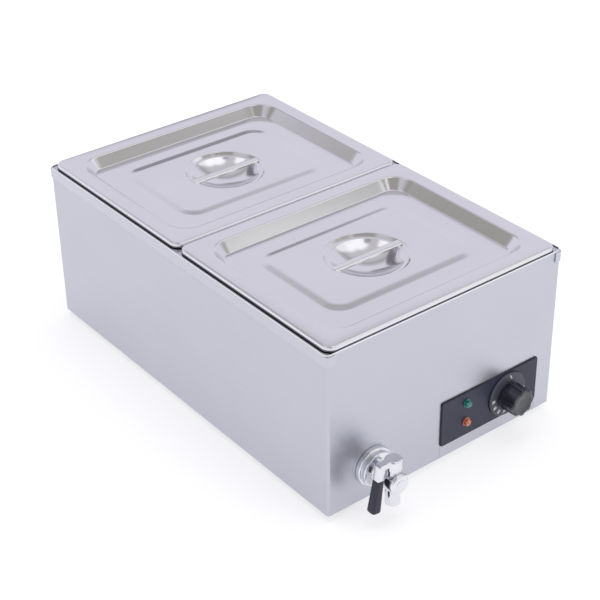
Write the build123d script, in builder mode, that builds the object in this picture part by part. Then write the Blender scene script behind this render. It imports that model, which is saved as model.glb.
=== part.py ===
from build123d import *
from math import cos, radians, sin, tan
import os

# Bain marie for a counter: a sheet-steel housing with a heated water well, two lidded food pans
# side by side in the well, a thermostat box and a drain tap on the front.
# Millimetres, +Z up. The front faces -Y and X runs across the width.
# The origin is on the counter under the middle of the bounding box.

# Sheet thicknesses and clearances
SHEET = 1.2
BASE_SHEET = 1.0
PRESSED_SHEET = 1.0
SEAT_GAP = 0.2
FIT_GAP = 0.3
RUNNING_GAP = 0.05
THREAD_GAP = 0.1
CUT_THROUGH = 5.0
EDGE_BAND = 0.05

# Food pans
PAN_WIDTH = 323.0
PAN_LENGTH = 263.0
PAN_DEPTH = 100.0
PAN_GAP = 4.0
PAN_CORNER = 11.0
PAN_RIM = 2.0
PAN_FLANGE = 10.0
PAN_MOUTH_CORNER = 40.0
PAN_DRAFT = 3.0
PAN_RIM_BEND = 1.6
PAN_MOUTH_BEND = 4.0
PAN_FLOOR_BEND = 14.0

# Lids
LID_OVERHANG = 1.0
LID_CORNER = 12.0
LID_RIM = 4.0
LID_RIM_BEND = 2.4
LID_FLANGE = 21.0
TRAY_DEPTH = 12.2
TRAY_DRAFT = 42.0
TRAY_CORNER = 28.0
TRAY_MOUTH_BEND = 3.5
TRAY_FLOOR_BEND = 2.0
PAD_WIDTH = 208.0
PAD_LENGTH = 143.0
PAD_CORNER = 24.0
PAD_RISE = 1.2
PAD_SLOPE = 9.5
DISH_RADIUS = 46.0
DISH_STEP = 3.2
DISH_LEDGE = 4.0
DISH_DEPTH = 13.5
DISH_BEND = 2.6
BRIM_BEND = 1.6
STRAP_WIDTH = 10.5
STRAP_HEIGHT = 3.0
STRAP_SHEET = 1.2
STRAP_BEND = 1.4

# Housing and well
PAN_PLAY = 2.5
SIDE_SHOW = 4.0
END_SHOW = 3.1
SHELL_CORNER = 3.0
BOTTOM_FLANGE = 14.0
LIP_PROUD = 1.5
LIP_DROP = 12.0
LIP_TAB = 10.5
DECK_BEND = 0.9
WELL_CORNER = 30.0
WELL_FLOOR_BEND = 10.0
WATER_SPACE = 26.0
SERVICE_CLEARANCE = 3.8

# Divider bar between the pans
DIVIDER_WIDTH = 19.0
DIVIDER_HEIGHT = 14.0
DIVIDER_SHEET = 1.5
DIVIDER_TONGUE = 12.0
BRACKET_LEG = 15.0
BRACKET_WIDTH = 15.0

# Base, feet and their screws
FOOT_HEIGHT = 7.0
FOOT_TOP_RADIUS = 11.0
FOOT_SOLE_RADIUS = 9.5
FOOT_RECESS = 4.0
FOOT_RECESS_RADIUS = 5.0
FOOT_INSET = 19.0
FOOT_SIDE_INSET = 26.5
FOOT_RIGHT_FRONT_INSET = 63.5
FOOT_SCREW_RADIUS = 2.0
FOOT_SCREW_HEAD_RADIUS = 3.8
FOOT_SCREW_HEAD = 2.4
FOOT_SCREW_LENGTH = 9.0
BASE_MARGIN = 2.0
BASE_SCREW_RADIUS = 1.7
BASE_SCREW_HEAD_RADIUS = 3.4
BASE_SCREW_HEAD = 2.0
BASE_SCREW_LENGTH = 6.0
BASE_SCREW_PITCH = 156.0
VENT_LENGTH = 46.0
VENT_WIDTH = 5.0
VENT_PITCH_X = 62.0
VENT_PITCH_Y = 14.0
VENT_COLUMNS = 3
VENT_ROWS = 8
VENT_SHIFT = 90.0

# Control box and fascia, placed from the shell's right side and bottom edge
PANEL_SIDE_INSET = 25.5
PANEL_WIDTH = 147.0
NOTCH_HEIGHT = 75.0
BOX_DEPTH = 92.0
FASCIA_HEIGHT = 58.5
FASCIA_THICKNESS = 2.0
FASCIA_CORNER = 3.0
FASCIA_BEVEL = 0.7

# Thermostat, its knob and sensor
KNOB_SHIFT = 25.5
SKIRT_RADIUS = 27.5
SKIRT_THICKNESS = 2.6
SKIRT_LIFT = 0.6
SKIRT_BEVEL = 1.2
GRIP_BASE_RADIUS = 17.2
GRIP_DRAFT = 1.5
GRIP_LENGTH = 24.0
GRIP_FLUTES = 8
FLUTE_RADIUS = 9.0
FLUTE_DEPTH = 1.8
GRIP_EDGE = 1.5
NECK_RADIUS = 13.0
NECK_LENGTH = 2.2
POINTER_WIDTH = 5.0
POINTER_PROUD = 0.9
POINTER_GROOVE = 1.6
FACE_DISH_RADIUS = 11.5
FACE_DISH_DEPTH = 0.8
SPINDLE_RADIUS = 3.0
SPINDLE_FLAT = 1.0
SPINDLE_REACH = 14.0
BUSHING_RADIUS = 4.8
THERMOSTAT_SIZE = 38.0
THERMOSTAT_DEPTH = 30.0
THERMOSTAT_SCREW_PITCH = 28.0
THERMOSTAT_SCREW_RADIUS = 2.0
THERMOSTAT_SCREW_HEAD_RADIUS = 3.6
THERMOSTAT_SCREW_HEAD = 1.6
THERMOSTAT_SCREW_LENGTH = 7.0
BULB_RADIUS = 3.0
BULB_LENGTH = 90.0
BULB_X = 20.0
BULB_SETBACK = 112.0
CAPILLARY_RADIUS = 0.8
CAPILLARY_BEND = 7.0
CAPILLARY_RUN = 14.0
CLIP_WIDTH = 10.0
CLIP_SHEET = 1.0
CLIP_EAR = 8.0
CLIP_PITCH = 56.0

# Pilot lamps
LAMP_SHIFT = -36.0
LAMP_RISE = 1.75
LAMP_PITCH = 25.0
LAMP_RADIUS = 4.5
LAMP_FLANGE_RADIUS = 5.6
LAMP_FLANGE = 1.0
LAMP_DOME = 5.0
LAMP_DOME_EDGE = 1.6
LAMP_BODY_LENGTH = 22.0
LAMP_CLIP_RADIUS = 7.0
LAMP_CLIP = 1.6

# Terminal block and cable gland
BLOCK_WIDTH = 46.0
BLOCK_DEPTH = 22.0
BLOCK_HEIGHT = 20.0
BLOCK_SIDE_INSET = 65.5
BLOCK_SETBACK = 160.0
BLOCK_POLES = 4
BLOCK_WELL_RADIUS = 3.2
BLOCK_WELL_DEPTH = 8.0
GLAND_SIDE_INSET = 55.5
GLAND_RISE = 30.0
GLAND_THREAD_RADIUS = 8.0
GLAND_BORE_RADIUS = 4.5
GLAND_HEX = 22.0
GLAND_COLLAR = 5.0
GLAND_DOME = 14.0
GLAND_DOME_RADIUS = 10.5
GLAND_DOME_EDGE = 4.0
GLAND_THREAD_LENGTH = 9.0
GLAND_LOCKNUT = 4.0

# Heating element, a bent tube above the well floor
ELEMENT_RADIUS = 4.2
ELEMENT_RISE = 13.0
ELEMENT_PITCH = 62.0
ELEMENT_TURN = 22.0
ELEMENT_DIP_BEND = 9.0
ELEMENT_FRONT_SETBACK = 70.0
ELEMENT_INNER_SETBACK = 122.0
ELEMENT_REAR_SETBACK = 62.0
ELEMENT_RETURN_X = 48.0
ELEMENT_TAIL = 19.0
ELEMENT_PIN_RADIUS = 1.6
ELEMENT_PIN = 10.0
BUSH_RADIUS = 7.0
BUSH_HEX = 20.0
BUSH_HEAD = 2.5
BUSH_THREAD = 11.0
BUSH_GASKET = 1.5
BUSH_GASKET_RADIUS = 10.0
BUSH_NUT = 5.0
SADDLE_WIDTH = 16.0
SADDLE_THICKNESS = 3.0
SADDLE_INSET = 40.0

# Drain from the well floor to the tap
TAP_SIDE_INSET = 60.5
TAP_RISE = 41.0
PIPE_RADIUS = 10.5
PIPE_BORE = 7.0
DRAIN_SETBACK = 38.0
DRAIN_BEND = 16.0
DRAIN_FLANGE_RADIUS = 17.0
DRAIN_FLANGE = 2.0
DRAIN_GASKET = 2.0
DRAIN_NUT = 7.0
DRAIN_NUT_HEX = 30.0
ELBOW_RADIUS = 13.0
SOCKET_RADIUS = 14.0
SOCKET_LENGTH = 11.0

# Tap: distances out from the front wall, heights from the tap's own axis
TAP_GASKET = 1.5
TAP_GASKET_RADIUS = 21.0
ROSETTE = 5.0
ROSETTE_RADIUS = 23.5
ROSETTE_EDGE = 2.2
COLLAR = 6.0
COLLAR_RADIUS = 21.0
COLLAR_EDGE = 1.8
NECK_RADIUS = 11.0
CHAMBER_BACK = 21.5
CHAMBER_FRONT = 42.0
CHAMBER_RADIUS = 12.5
STEM_OUT = 33.5
CAP_DOME = 4.5
CAP_EDGE = 4.2
CAP_BOSS_RADIUS = 6.5
CAP_BOSS = 0.6
CAP_SPIGOT = 0.7
TAP_BACKNUT = 7.0
TAP_BACKNUT_HEX = 32.0
SPOUT_RADIUS = 8.5
SPOUT_BORE = 6.0
SPOUT_DROP = 30.0
SPOUT_EDGE = 1.2
SPOUT_BORE_DEPTH = 18.0
BALL_RADIUS = 8.0
BALL_PORT = 4.0
SEAT_DEPTH = 3.2
SEAT_BORE = 4.6
GLAND_NUT_RADIUS = 8.2
GLAND_NUT_TOP = 15.6
GLAND_NUT_BASE = 13.0
STEM_RADIUS = 4.0
STEM_TANG = 2.5
STEM_TANG_DEPTH = 1.6
STEM_TOP = 26.0

# Tap lever: arm out to -X at rest, then a leg that hangs down into the grip
HUB_RADIUS = 9.5
HUB_BASE = 16.0
HUB_TOP = 29.0
HUB_EDGE = 2.5
ARM_WIDTH = 9.0
ARM_HUB_HEIGHT = 9.0
ARM_END_HEIGHT = 6.5
ARM_REACH = 17.5
ARM_EDGE = 1.0
ARM_BEND = 3.0
LEG_LEAN = 8.4
LEG_LENGTH = 19.0
LEG_SIZE = 9.0
TANG_SIZE = 5.0
TANG_LENGTH = 26.0
GRIP_TOP_SIZE = 9.6
GRIP_SOLE_SIZE = 12.2
GRIP_CORNER = 3.0
LEVER_GRIP_LENGTH = 41.0
GRIP_SOLE_EDGE = 1.5
SET_SCREW_RADIUS = 2.0
SET_SCREW_LENGTH = 4.5

# Heights that follow from the stack of pieces
SHELL_BOTTOM = FOOT_HEIGHT + BASE_SHEET
UNDER_WELL = NOTCH_HEIGHT + SERVICE_CLEARANCE
WELL_FLOOR = SHELL_BOTTOM + UNDER_WELL + SHEET
WELL_UNDERSIDE = WELL_FLOOR - SHEET
PAN_UNDERSIDE = WELL_FLOOR + WATER_SPACE
PAN_TOP = PAN_UNDERSIDE + PAN_DEPTH
DECK_TOP = PAN_TOP - PAN_RIM - SEAT_GAP
WELL_DEPTH = DECK_TOP - WELL_FLOOR
SHELL_HEIGHT = DECK_TOP - SHEET - SHELL_BOTTOM
LID_RIM_BOTTOM = PAN_TOP + SEAT_GAP
LID_TOP = LID_RIM_BOTTOM + LID_RIM

# Plan sizes that follow from the pans
PAN_PITCH = PAN_LENGTH + PAN_GAP
ROW_LENGTH = 2 * PAN_LENGTH + PAN_GAP
SHELL_WIDTH = PAN_WIDTH + 2 * SIDE_SHOW
SHELL_LENGTH = ROW_LENGTH + 2 * END_SHOW
LIP_WIDTH = SHELL_WIDTH + 2 * LIP_PROUD
LIP_LENGTH = SHELL_LENGTH + 2 * LIP_PROUD
WELL_WIDTH = PAN_WIDTH - 2 * PAN_FLANGE + 2 * PAN_PLAY
WELL_LENGTH = ROW_LENGTH - 2 * PAN_FLANGE + 2 * PAN_PLAY
LID_WIDTH = PAN_WIDTH + 2 * LID_OVERHANG
LID_LENGTH = PAN_LENGTH + 2 * LID_OVERHANG

# Places across the width, from the shell's sides
SIDE_X = SHELL_WIDTH / 2
PANEL_X = SIDE_X - PANEL_SIDE_INSET - PANEL_WIDTH / 2
BLOCK_X = SIDE_X - BLOCK_SIDE_INSET
GLAND_X = SIDE_X - GLAND_SIDE_INSET
TAP_X = TAP_SIDE_INSET - SIDE_X

# The tap's cap reaches furthest forward and the cable gland furthest back
TAP_REACH = CHAMBER_FRONT + CAP_DOME + CAP_BOSS
GLAND_REACH = GLAND_COLLAR + GLAND_DOME
BODY_Y = (TAP_REACH - GLAND_REACH) / 2
FRONT_Y = BODY_Y - SHELL_LENGTH / 2
REAR_Y = BODY_Y + SHELL_LENGTH / 2

# Places on the front wall, as (across, up from the shell's bottom edge)
FASCIA_RISE = NOTCH_HEIGHT - FASCIA_HEIGHT / 2
KNOB_X = PANEL_X + KNOB_SHIFT
LAMP_X = PANEL_X + LAMP_SHIFT
LAMP_RISES = (
    FASCIA_RISE + LAMP_RISE + LAMP_PITCH / 2,
    FASCIA_RISE + LAMP_RISE - LAMP_PITCH / 2,
)

# Tap axis and stem axis
TAP_Z = SHELL_BOTTOM + TAP_RISE
STEM_Y = FRONT_Y - STEM_OUT


def plan(height):
    """Level plane over the middle of the housing."""
    return Plane((0, BODY_Y, height))


def front(out):
    """Plane of the front wall moved out by a distance: x across, y up from the shell's bottom."""
    return Plane((0, FRONT_Y - out, SHELL_BOTTOM), x_dir=(1, 0, 0), z_dir=(0, -1, 0))


def rear(out):
    """Plane of the rear wall moved out by a distance: x to the left, y up from the shell's bottom."""
    return Plane((0, REAR_Y + out, SHELL_BOTTOM), x_dir=(-1, 0, 0), z_dir=(0, 1, 0))


def stem(height):
    """Level plane on the tap's stem axis, at a height above the tap's own axis."""
    return Plane((TAP_X, STEM_Y, TAP_Z + height))


def bend_growth(skin, draft):
    """How far a drafted wall's mouth widens when its surface is offset by the sheet thickness."""
    return skin * (1 - sin(radians(draft))) / cos(radians(draft))


os.makedirs("parts", exist_ok=True)


# Outer shell: four walls with a bottom flange turned in, a notch for the control box
with BuildPart() as outer_shell:
    with BuildSketch(plan(SHELL_BOTTOM)):
        RectangleRounded(SHELL_WIDTH, SHELL_LENGTH, SHELL_CORNER)
    extrude(amount=SHELL_HEIGHT)
    with BuildSketch(plan(SHELL_BOTTOM + SHEET)):
        RectangleRounded(SHELL_WIDTH - 2 * SHEET, SHELL_LENGTH - 2 * SHEET, SHELL_CORNER - SHEET)
    extrude(amount=SHELL_HEIGHT, mode=Mode.SUBTRACT)
    with BuildSketch(plan(SHELL_BOTTOM)):
        Rectangle(SHELL_WIDTH - 2 * BOTTOM_FLANGE, SHELL_LENGTH - 2 * BOTTOM_FLANGE)
    extrude(amount=SHEET, mode=Mode.SUBTRACT)
    with BuildSketch(front(0)):
        with Locations((PANEL_X, 0)):
            Rectangle(PANEL_WIDTH, NOTCH_HEIGHT, align=(Align.CENTER, Align.MIN))
        with Locations((TAP_X, TAP_RISE)):
            Circle(PIPE_RADIUS + FIT_GAP)
    extrude(amount=-BOTTOM_FLANGE, mode=Mode.SUBTRACT)
    with BuildSketch(rear(0)):
        with Locations((-GLAND_X, GLAND_RISE)):
            Circle(GLAND_THREAD_RADIUS + THREAD_GAP)
    extrude(amount=-SHEET, mode=Mode.SUBTRACT)
    with BuildSketch(plan(SHELL_BOTTOM)):
        with GridLocations(SHELL_WIDTH - BOTTOM_FLANGE, BASE_SCREW_PITCH, 2, 4):
            Circle(BASE_SCREW_RADIUS + THREAD_GAP)
    extrude(amount=SHEET, mode=Mode.SUBTRACT)
outer_shell.part.label = "outer_shell"
export_step(outer_shell.part, "parts/outer_shell.step")


# Places of the element's two tails and of the drain in the well floor
ELEMENT_LEG_X = 1.5 * ELEMENT_PITCH
ELEMENT_FRONT_Y = FRONT_Y + ELEMENT_FRONT_SETBACK
ELEMENT_Z = WELL_FLOOR + ELEMENT_RISE
TAIL_POINTS = ((ELEMENT_LEG_X, ELEMENT_FRONT_Y), (ELEMENT_RETURN_X, ELEMENT_FRONT_Y))
DRAIN_Y = FRONT_Y + DRAIN_SETBACK

# Water tank: the deck with its side lips, and the deep-drawn well
with BuildPart() as water_tank:
    with BuildSketch(plan(DECK_TOP)):
        RectangleRounded(LIP_WIDTH, LIP_LENGTH, SHELL_CORNER + LIP_PROUD)
    extrude(amount=-LIP_DROP)
    fillet(water_tank.faces().sort_by(Axis.Z)[-1].edges(), DECK_BEND)
    with BuildSketch(plan(DECK_TOP - SHEET)):
        RectangleRounded(LIP_WIDTH - 2 * SHEET, LIP_LENGTH - 2 * SHEET, SHELL_CORNER + LIP_PROUD - SHEET)
    extrude(amount=-LIP_DROP, mode=Mode.SUBTRACT)
    with BuildSketch(plan(DECK_TOP)):
        for end in (1, -1):
            with Locations((0, end * (SHELL_LENGTH + LIP_LENGTH) / 4)):
                Rectangle(LIP_WIDTH - 2 * LIP_TAB, LIP_PROUD)
    extrude(amount=-LIP_DROP, mode=Mode.SUBTRACT)
    deck_edges = water_tank.edges().filter_by(Axis.X).filter_by_position(
        Axis.Z, DECK_TOP - EDGE_BAND, DECK_TOP + EDGE_BAND
    )
    fillet(deck_edges.sort_by(SortBy.LENGTH)[-2:], DECK_BEND)
    with BuildSketch(plan(DECK_TOP)):
        RectangleRounded(WELL_WIDTH + 2 * SHEET, WELL_LENGTH + 2 * SHEET, WELL_CORNER + SHEET)
    extrude(amount=-(WELL_DEPTH + SHEET))
    with BuildSketch(plan(DECK_TOP)):
        RectangleRounded(WELL_WIDTH, WELL_LENGTH, WELL_CORNER)
    extrude(amount=-WELL_DEPTH, mode=Mode.SUBTRACT)
    floor_edges = water_tank.edges().filter_by_position(
        Axis.Z, WELL_FLOOR - EDGE_BAND, WELL_FLOOR + EDGE_BAND
    )
    fillet(floor_edges, WELL_FLOOR_BEND)
    fillet(water_tank.faces().sort_by(Axis.Z)[0].edges(), WELL_FLOOR_BEND + SHEET)
    with BuildSketch(Plane.XY.offset(WELL_UNDERSIDE)):
        with Locations(*TAIL_POINTS):
            Circle(BUSH_RADIUS + THREAD_GAP)
        with Locations((TAP_X, DRAIN_Y)):
            Circle(PIPE_RADIUS + THREAD_GAP)
    extrude(amount=SHEET, mode=Mode.SUBTRACT)
water_tank.part.label = "water_tank"
export_step(water_tank.part, "parts/water_tank.step")


# Divider bar: a channel across the well, level with the deck, with a tongue at each end
DIVIDER_LENGTH = WELL_WIDTH - 2 * FIT_GAP
with BuildPart() as divider_bar:
    with BuildSketch(plan(DECK_TOP)):
        Rectangle(DIVIDER_LENGTH, DIVIDER_WIDTH)
    extrude(amount=-DIVIDER_HEIGHT)
    fillet(divider_bar.faces().sort_by(Axis.Z)[-1].edges().filter_by(Axis.X), DIVIDER_SHEET)
    with BuildSketch(plan(DECK_TOP - DIVIDER_SHEET)):
        Rectangle(DIVIDER_LENGTH, DIVIDER_WIDTH - 2 * DIVIDER_SHEET)
    extrude(amount=-DIVIDER_HEIGHT, mode=Mode.SUBTRACT)
    with BuildSketch(plan(DECK_TOP - DIVIDER_SHEET)):
        with GridLocations(DIVIDER_LENGTH - DIVIDER_TONGUE, 0, 2, 1):
            Rectangle(DIVIDER_TONGUE, DIVIDER_WIDTH)
    extrude(amount=-DIVIDER_HEIGHT, mode=Mode.SUBTRACT)
divider_bar.part.label = "divider_bar"
export_step(divider_bar.part, "parts/divider_bar.step")


# Divider brackets: angles on the well's side walls that carry the bar's tongues
BRACKET_TOP = DECK_TOP - DIVIDER_SHEET
BRACKET_LEDGE = DIVIDER_TONGUE - FIT_GAP
with BuildPart() as divider_brackets:
    with BuildSketch(Plane((0, BODY_Y, 0), x_dir=(1, 0, 0), z_dir=(0, -1, 0))):
        with Locations((-WELL_WIDTH / 2, BRACKET_TOP)):
            Rectangle(BRACKET_LEDGE, SHEET, align=(Align.MIN, Align.MAX))
            Rectangle(SHEET, BRACKET_LEG, align=(Align.MIN, Align.MAX))
    extrude(amount=BRACKET_WIDTH / 2, both=True)
    mirror(about=Plane.YZ)
divider_brackets.part.label = "divider_brackets"
export_step(divider_brackets.part, "parts/divider_brackets.step")


def pan_form(centre_y, skin):
    """Block under the pan's upper skin, or under its lower skin when skin is the sheet thickness."""
    top = PAN_TOP - skin
    depth = PAN_DEPTH - PRESSED_SHEET
    grow = bend_growth(skin, PAN_DRAFT) - PRESSED_SHEET
    with BuildPart() as form:
        with BuildSketch(Plane((0, centre_y, top))):
            RectangleRounded(PAN_WIDTH - 2 * skin, PAN_LENGTH - 2 * skin, PAN_CORNER - skin)
        extrude(amount=-(PAN_DEPTH + CUT_THROUGH))
        fillet(form.faces().sort_by(Axis.Z)[-1].edges(), PAN_RIM_BEND - skin)
        with BuildSketch(Plane((0, centre_y, top))):
            RectangleRounded(
                PAN_WIDTH - 2 * PAN_FLANGE + 2 * grow,
                PAN_LENGTH - 2 * PAN_FLANGE + 2 * grow,
                PAN_MOUTH_CORNER + grow,
            )
        extrude(amount=-depth, taper=PAN_DRAFT, mode=Mode.SUBTRACT)
        mouth = form.faces().sort_by(Axis.Z)[-1].inner_wires()[0].edges()
        fillet(mouth, PAN_MOUTH_BEND - skin)
        floor = form.edges().filter_by_position(Axis.Z, top - depth - EDGE_BAND, top - depth + EDGE_BAND)
        fillet(floor, PAN_FLOOR_BEND + skin)
    return form.part


# Food pans: drawn from sheet, with a flange turned down at the edge to stand on the deck
for name, side in (("pan_front", -1), ("pan_rear", 1)):
    centre_y = BODY_Y + side * PAN_PITCH / 2
    with BuildPart() as pan:
        add(pan_form(centre_y, 0))
        add(pan_form(centre_y, PRESSED_SHEET), mode=Mode.SUBTRACT)
        with BuildSketch(Plane((0, centre_y, PAN_TOP - PAN_RIM))):
            Rectangle(PAN_WIDTH + CUT_THROUGH, PAN_LENGTH + CUT_THROUGH)
            Rectangle(PAN_WIDTH - PAN_FLANGE, PAN_LENGTH - PAN_FLANGE, mode=Mode.SUBTRACT)
        extrude(amount=-(PAN_DEPTH + CUT_THROUGH), mode=Mode.SUBTRACT)
    pan.part.label = name
    export_step(pan.part, f"parts/{name}.step")


TRAY_WIDTH = LID_WIDTH - 2 * LID_FLANGE
TRAY_LENGTH = LID_LENGTH - 2 * LID_FLANGE
LID_BLOCK = TRAY_DEPTH + DISH_STEP + DISH_DEPTH + CUT_THROUGH
PAD_TOP = LID_TOP - TRAY_DEPTH + PAD_RISE
LEDGE_TOP = PAD_TOP - DISH_STEP
LEDGE_INNER = DISH_RADIUS - DISH_LEDGE


def lid_form(centre_y, skin):
    """Block under the lid's upper skin, or under its lower skin when skin is the sheet thickness."""
    top = LID_TOP - skin
    floor = top - TRAY_DEPTH
    pad = floor + PAD_RISE
    ledge = pad - DISH_STEP
    tray_grow = bend_growth(skin, TRAY_DRAFT)
    with BuildPart() as form:
        with BuildSketch(Plane((0, centre_y, top))):
            RectangleRounded(LID_WIDTH - 2 * skin, LID_LENGTH - 2 * skin, LID_CORNER - skin)
        extrude(amount=-LID_BLOCK)
        fillet(form.faces().sort_by(Axis.Z)[-1].edges(), LID_RIM_BEND - skin)
        with BuildSketch(Plane((0, centre_y, top))):
            RectangleRounded(
                TRAY_WIDTH + 2 * tray_grow, TRAY_LENGTH + 2 * tray_grow, TRAY_CORNER + tray_grow
            )
        extrude(amount=-TRAY_DEPTH, taper=TRAY_DRAFT, mode=Mode.SUBTRACT)
        mouth = form.faces().sort_by(Axis.Z)[-1].inner_wires()[0].edges()
        fillet(mouth, TRAY_MOUTH_BEND - skin)
        corner = form.edges().filter_by_position(Axis.Z, floor - EDGE_BAND, floor + EDGE_BAND)
        fillet(corner, TRAY_FLOOR_BEND + skin)
        with BuildSketch(Plane((0, centre_y, floor))):
            RectangleRounded(PAD_WIDTH, PAD_LENGTH, PAD_CORNER)
        with BuildSketch(Plane((0, centre_y, pad))):
            RectangleRounded(PAD_WIDTH - 2 * PAD_SLOPE, PAD_LENGTH - 2 * PAD_SLOPE, PAD_CORNER - PAD_SLOPE)
        loft(ruled=True)
        with BuildSketch(Plane((0, centre_y, pad), x_dir=(1, 0, 0), z_dir=(0, -1, 0))):
            with BuildLine():
                bowl = TangentArc(
                    (0, -DISH_STEP - DISH_DEPTH), (LEDGE_INNER + skin, -DISH_STEP), tangent=(1, 0)
                )
                Polyline(
                    bowl @ 1, (DISH_RADIUS + skin, -DISH_STEP), (DISH_RADIUS + skin, 0), (0, 0), bowl @ 0
                )
            make_face()
        revolve(axis=Axis((0, centre_y, 0), (0, 0, 1)), mode=Mode.SUBTRACT)
        step = form.edges().filter_by(GeomType.CIRCLE).filter_by_position(
            Axis.Z, pad - EDGE_BAND, pad + EDGE_BAND
        )
        fillet(step.sort_by(SortBy.RADIUS)[-1], DISH_BEND - skin)
        brim = form.edges().filter_by(GeomType.CIRCLE).filter_by_position(
            Axis.Z, ledge - EDGE_BAND, ledge + EDGE_BAND
        )
        fillet(brim.sort_by(SortBy.RADIUS)[0], BRIM_BEND - skin)
    return form.part


# Lids and their strap handles: a pressed tray with a raised pad and a finger dish under the strap
for lid_name, side in (("lid_front", -1), ("lid_rear", 1)):
    centre_y = BODY_Y + side * PAN_PITCH / 2
    with BuildPart() as lid:
        add(lid_form(centre_y, 0))
        add(lid_form(centre_y, PRESSED_SHEET), mode=Mode.SUBTRACT)
        with BuildSketch(Plane((0, centre_y, LID_RIM_BOTTOM))):
            Rectangle(LID_WIDTH + CUT_THROUGH, LID_LENGTH + CUT_THROUGH)
            Rectangle(LID_WIDTH - LID_FLANGE, LID_LENGTH - LID_FLANGE, mode=Mode.SUBTRACT)
        extrude(amount=-(LID_BLOCK + CUT_THROUGH), mode=Mode.SUBTRACT)
    lid.part.label = lid_name
    export_step(lid.part, f"parts/{lid_name}.step")

    with BuildPart() as strap:
        with BuildSketch(Plane((0, centre_y, LEDGE_TOP), x_dir=(0, 1, 0), z_dir=(1, 0, 0))):
            Rectangle(STRAP_WIDTH, STRAP_HEIGHT, align=(Align.CENTER, Align.MIN))
        extrude(amount=DISH_RADIUS, both=True)
        fillet(strap.faces().sort_by(Axis.Z)[-1].edges().filter_by(Axis.X), STRAP_BEND)
        with BuildSketch(Plane((0, centre_y, LEDGE_TOP), x_dir=(0, 1, 0), z_dir=(1, 0, 0))):
            Rectangle(
                STRAP_WIDTH - 2 * STRAP_SHEET, STRAP_HEIGHT - STRAP_SHEET, align=(Align.CENTER, Align.MIN)
            )
        extrude(amount=DISH_RADIUS, both=True, mode=Mode.SUBTRACT)
        with BuildSketch(Plane((0, centre_y, LEDGE_TOP))):
            Circle(DISH_RADIUS - FIT_GAP)
        extrude(amount=STRAP_HEIGHT, mode=Mode.INTERSECT)
    strap.part.label = f"{lid_name}_handle"
    export_step(strap.part, f"parts/{lid_name}_handle.step")


# Base plate: screwed up against the shell's bottom flange, with vent slots under the well
FOOT_X = SIDE_X - FOOT_SIDE_INSET
FOOT_POINTS = (
    (-FOOT_X, FRONT_Y + FOOT_INSET),
    (SIDE_X - FOOT_RIGHT_FRONT_INSET, FRONT_Y + FOOT_INSET),
    (-FOOT_X, REAR_Y - FOOT_INSET),
    (FOOT_X, REAR_Y - FOOT_INSET),
)
with BuildPart() as base_plate:
    with BuildSketch(plan(FOOT_HEIGHT)):
        RectangleRounded(SHELL_WIDTH - 2 * BASE_MARGIN, SHELL_LENGTH - 2 * BASE_MARGIN, SHELL_CORNER)
        with GridLocations(SHELL_WIDTH - BOTTOM_FLANGE, BASE_SCREW_PITCH, 2, 4):
            Circle(BASE_SCREW_RADIUS + THREAD_GAP, mode=Mode.SUBTRACT)
        with Locations((0, VENT_SHIFT)):
            with GridLocations(VENT_PITCH_X, VENT_PITCH_Y, VENT_COLUMNS, VENT_ROWS):
                SlotOverall(VENT_LENGTH, VENT_WIDTH, mode=Mode.SUBTRACT)
    extrude(amount=BASE_SHEET)
    with BuildSketch(Plane.XY.offset(FOOT_HEIGHT)):
        with Locations(*FOOT_POINTS):
            Circle(FOOT_SCREW_RADIUS + THREAD_GAP)
    extrude(amount=BASE_SHEET, mode=Mode.SUBTRACT)
base_plate.part.label = "base_plate"
export_step(base_plate.part, "parts/base_plate.step")


# Base screws: pan heads under the plate, shanks through plate and flange
with BuildPart() as base_screws:
    with BuildSketch(plan(FOOT_HEIGHT)):
        with GridLocations(SHELL_WIDTH - BOTTOM_FLANGE, BASE_SCREW_PITCH, 2, 4):
            Circle(BASE_SCREW_HEAD_RADIUS)
    extrude(amount=-BASE_SCREW_HEAD)
    with BuildSketch(plan(FOOT_HEIGHT)):
        with GridLocations(SHELL_WIDTH - BOTTOM_FLANGE, BASE_SCREW_PITCH, 2, 4):
            Circle(BASE_SCREW_RADIUS)
    extrude(amount=BASE_SCREW_LENGTH)
    fillet(base_screws.edges().group_by(Axis.Z)[0], BASE_SCREW_HEAD / 2)
base_screws.part.label = "base_screws"
export_step(base_screws.part, "parts/base_screws.step")


# Rubber feet: tapered buttons with a recess for the screw head
with BuildPart() as rubber_feet:
    for foot_x, foot_y in FOOT_POINTS:
        with BuildSketch(Plane((foot_x, foot_y, 0), x_dir=(1, 0, 0), z_dir=(0, -1, 0))):
            with BuildLine():
                Polyline(
                    (FOOT_SCREW_RADIUS + THREAD_GAP, FOOT_HEIGHT),
                    (FOOT_TOP_RADIUS, FOOT_HEIGHT),
                    (FOOT_SOLE_RADIUS, 0),
                    (FOOT_RECESS_RADIUS, 0),
                    (FOOT_RECESS_RADIUS, FOOT_RECESS),
                    (FOOT_SCREW_RADIUS + THREAD_GAP, FOOT_RECESS),
                    close=True,
                )
            make_face()
        revolve(axis=Axis((foot_x, foot_y, 0), (0, 0, 1)))
rubber_feet.part.label = "rubber_feet"
export_step(rubber_feet.part, "parts/rubber_feet.step")


# Foot screws: from inside each foot's recess up through the base plate
with BuildPart() as foot_screws:
    with BuildSketch(Plane.XY.offset(FOOT_RECESS)):
        with Locations(*FOOT_POINTS):
            Circle(FOOT_SCREW_HEAD_RADIUS)
    extrude(amount=-FOOT_SCREW_HEAD)
    with BuildSketch(Plane.XY.offset(FOOT_RECESS)):
        with Locations(*FOOT_POINTS):
            Circle(FOOT_SCREW_RADIUS)
    extrude(amount=FOOT_SCREW_LENGTH)
    fillet(foot_screws.edges().group_by(Axis.Z)[0], FOOT_SCREW_HEAD / 2)
foot_screws.part.label = "foot_screws"
export_step(foot_screws.part, "parts/foot_screws.step")


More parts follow.
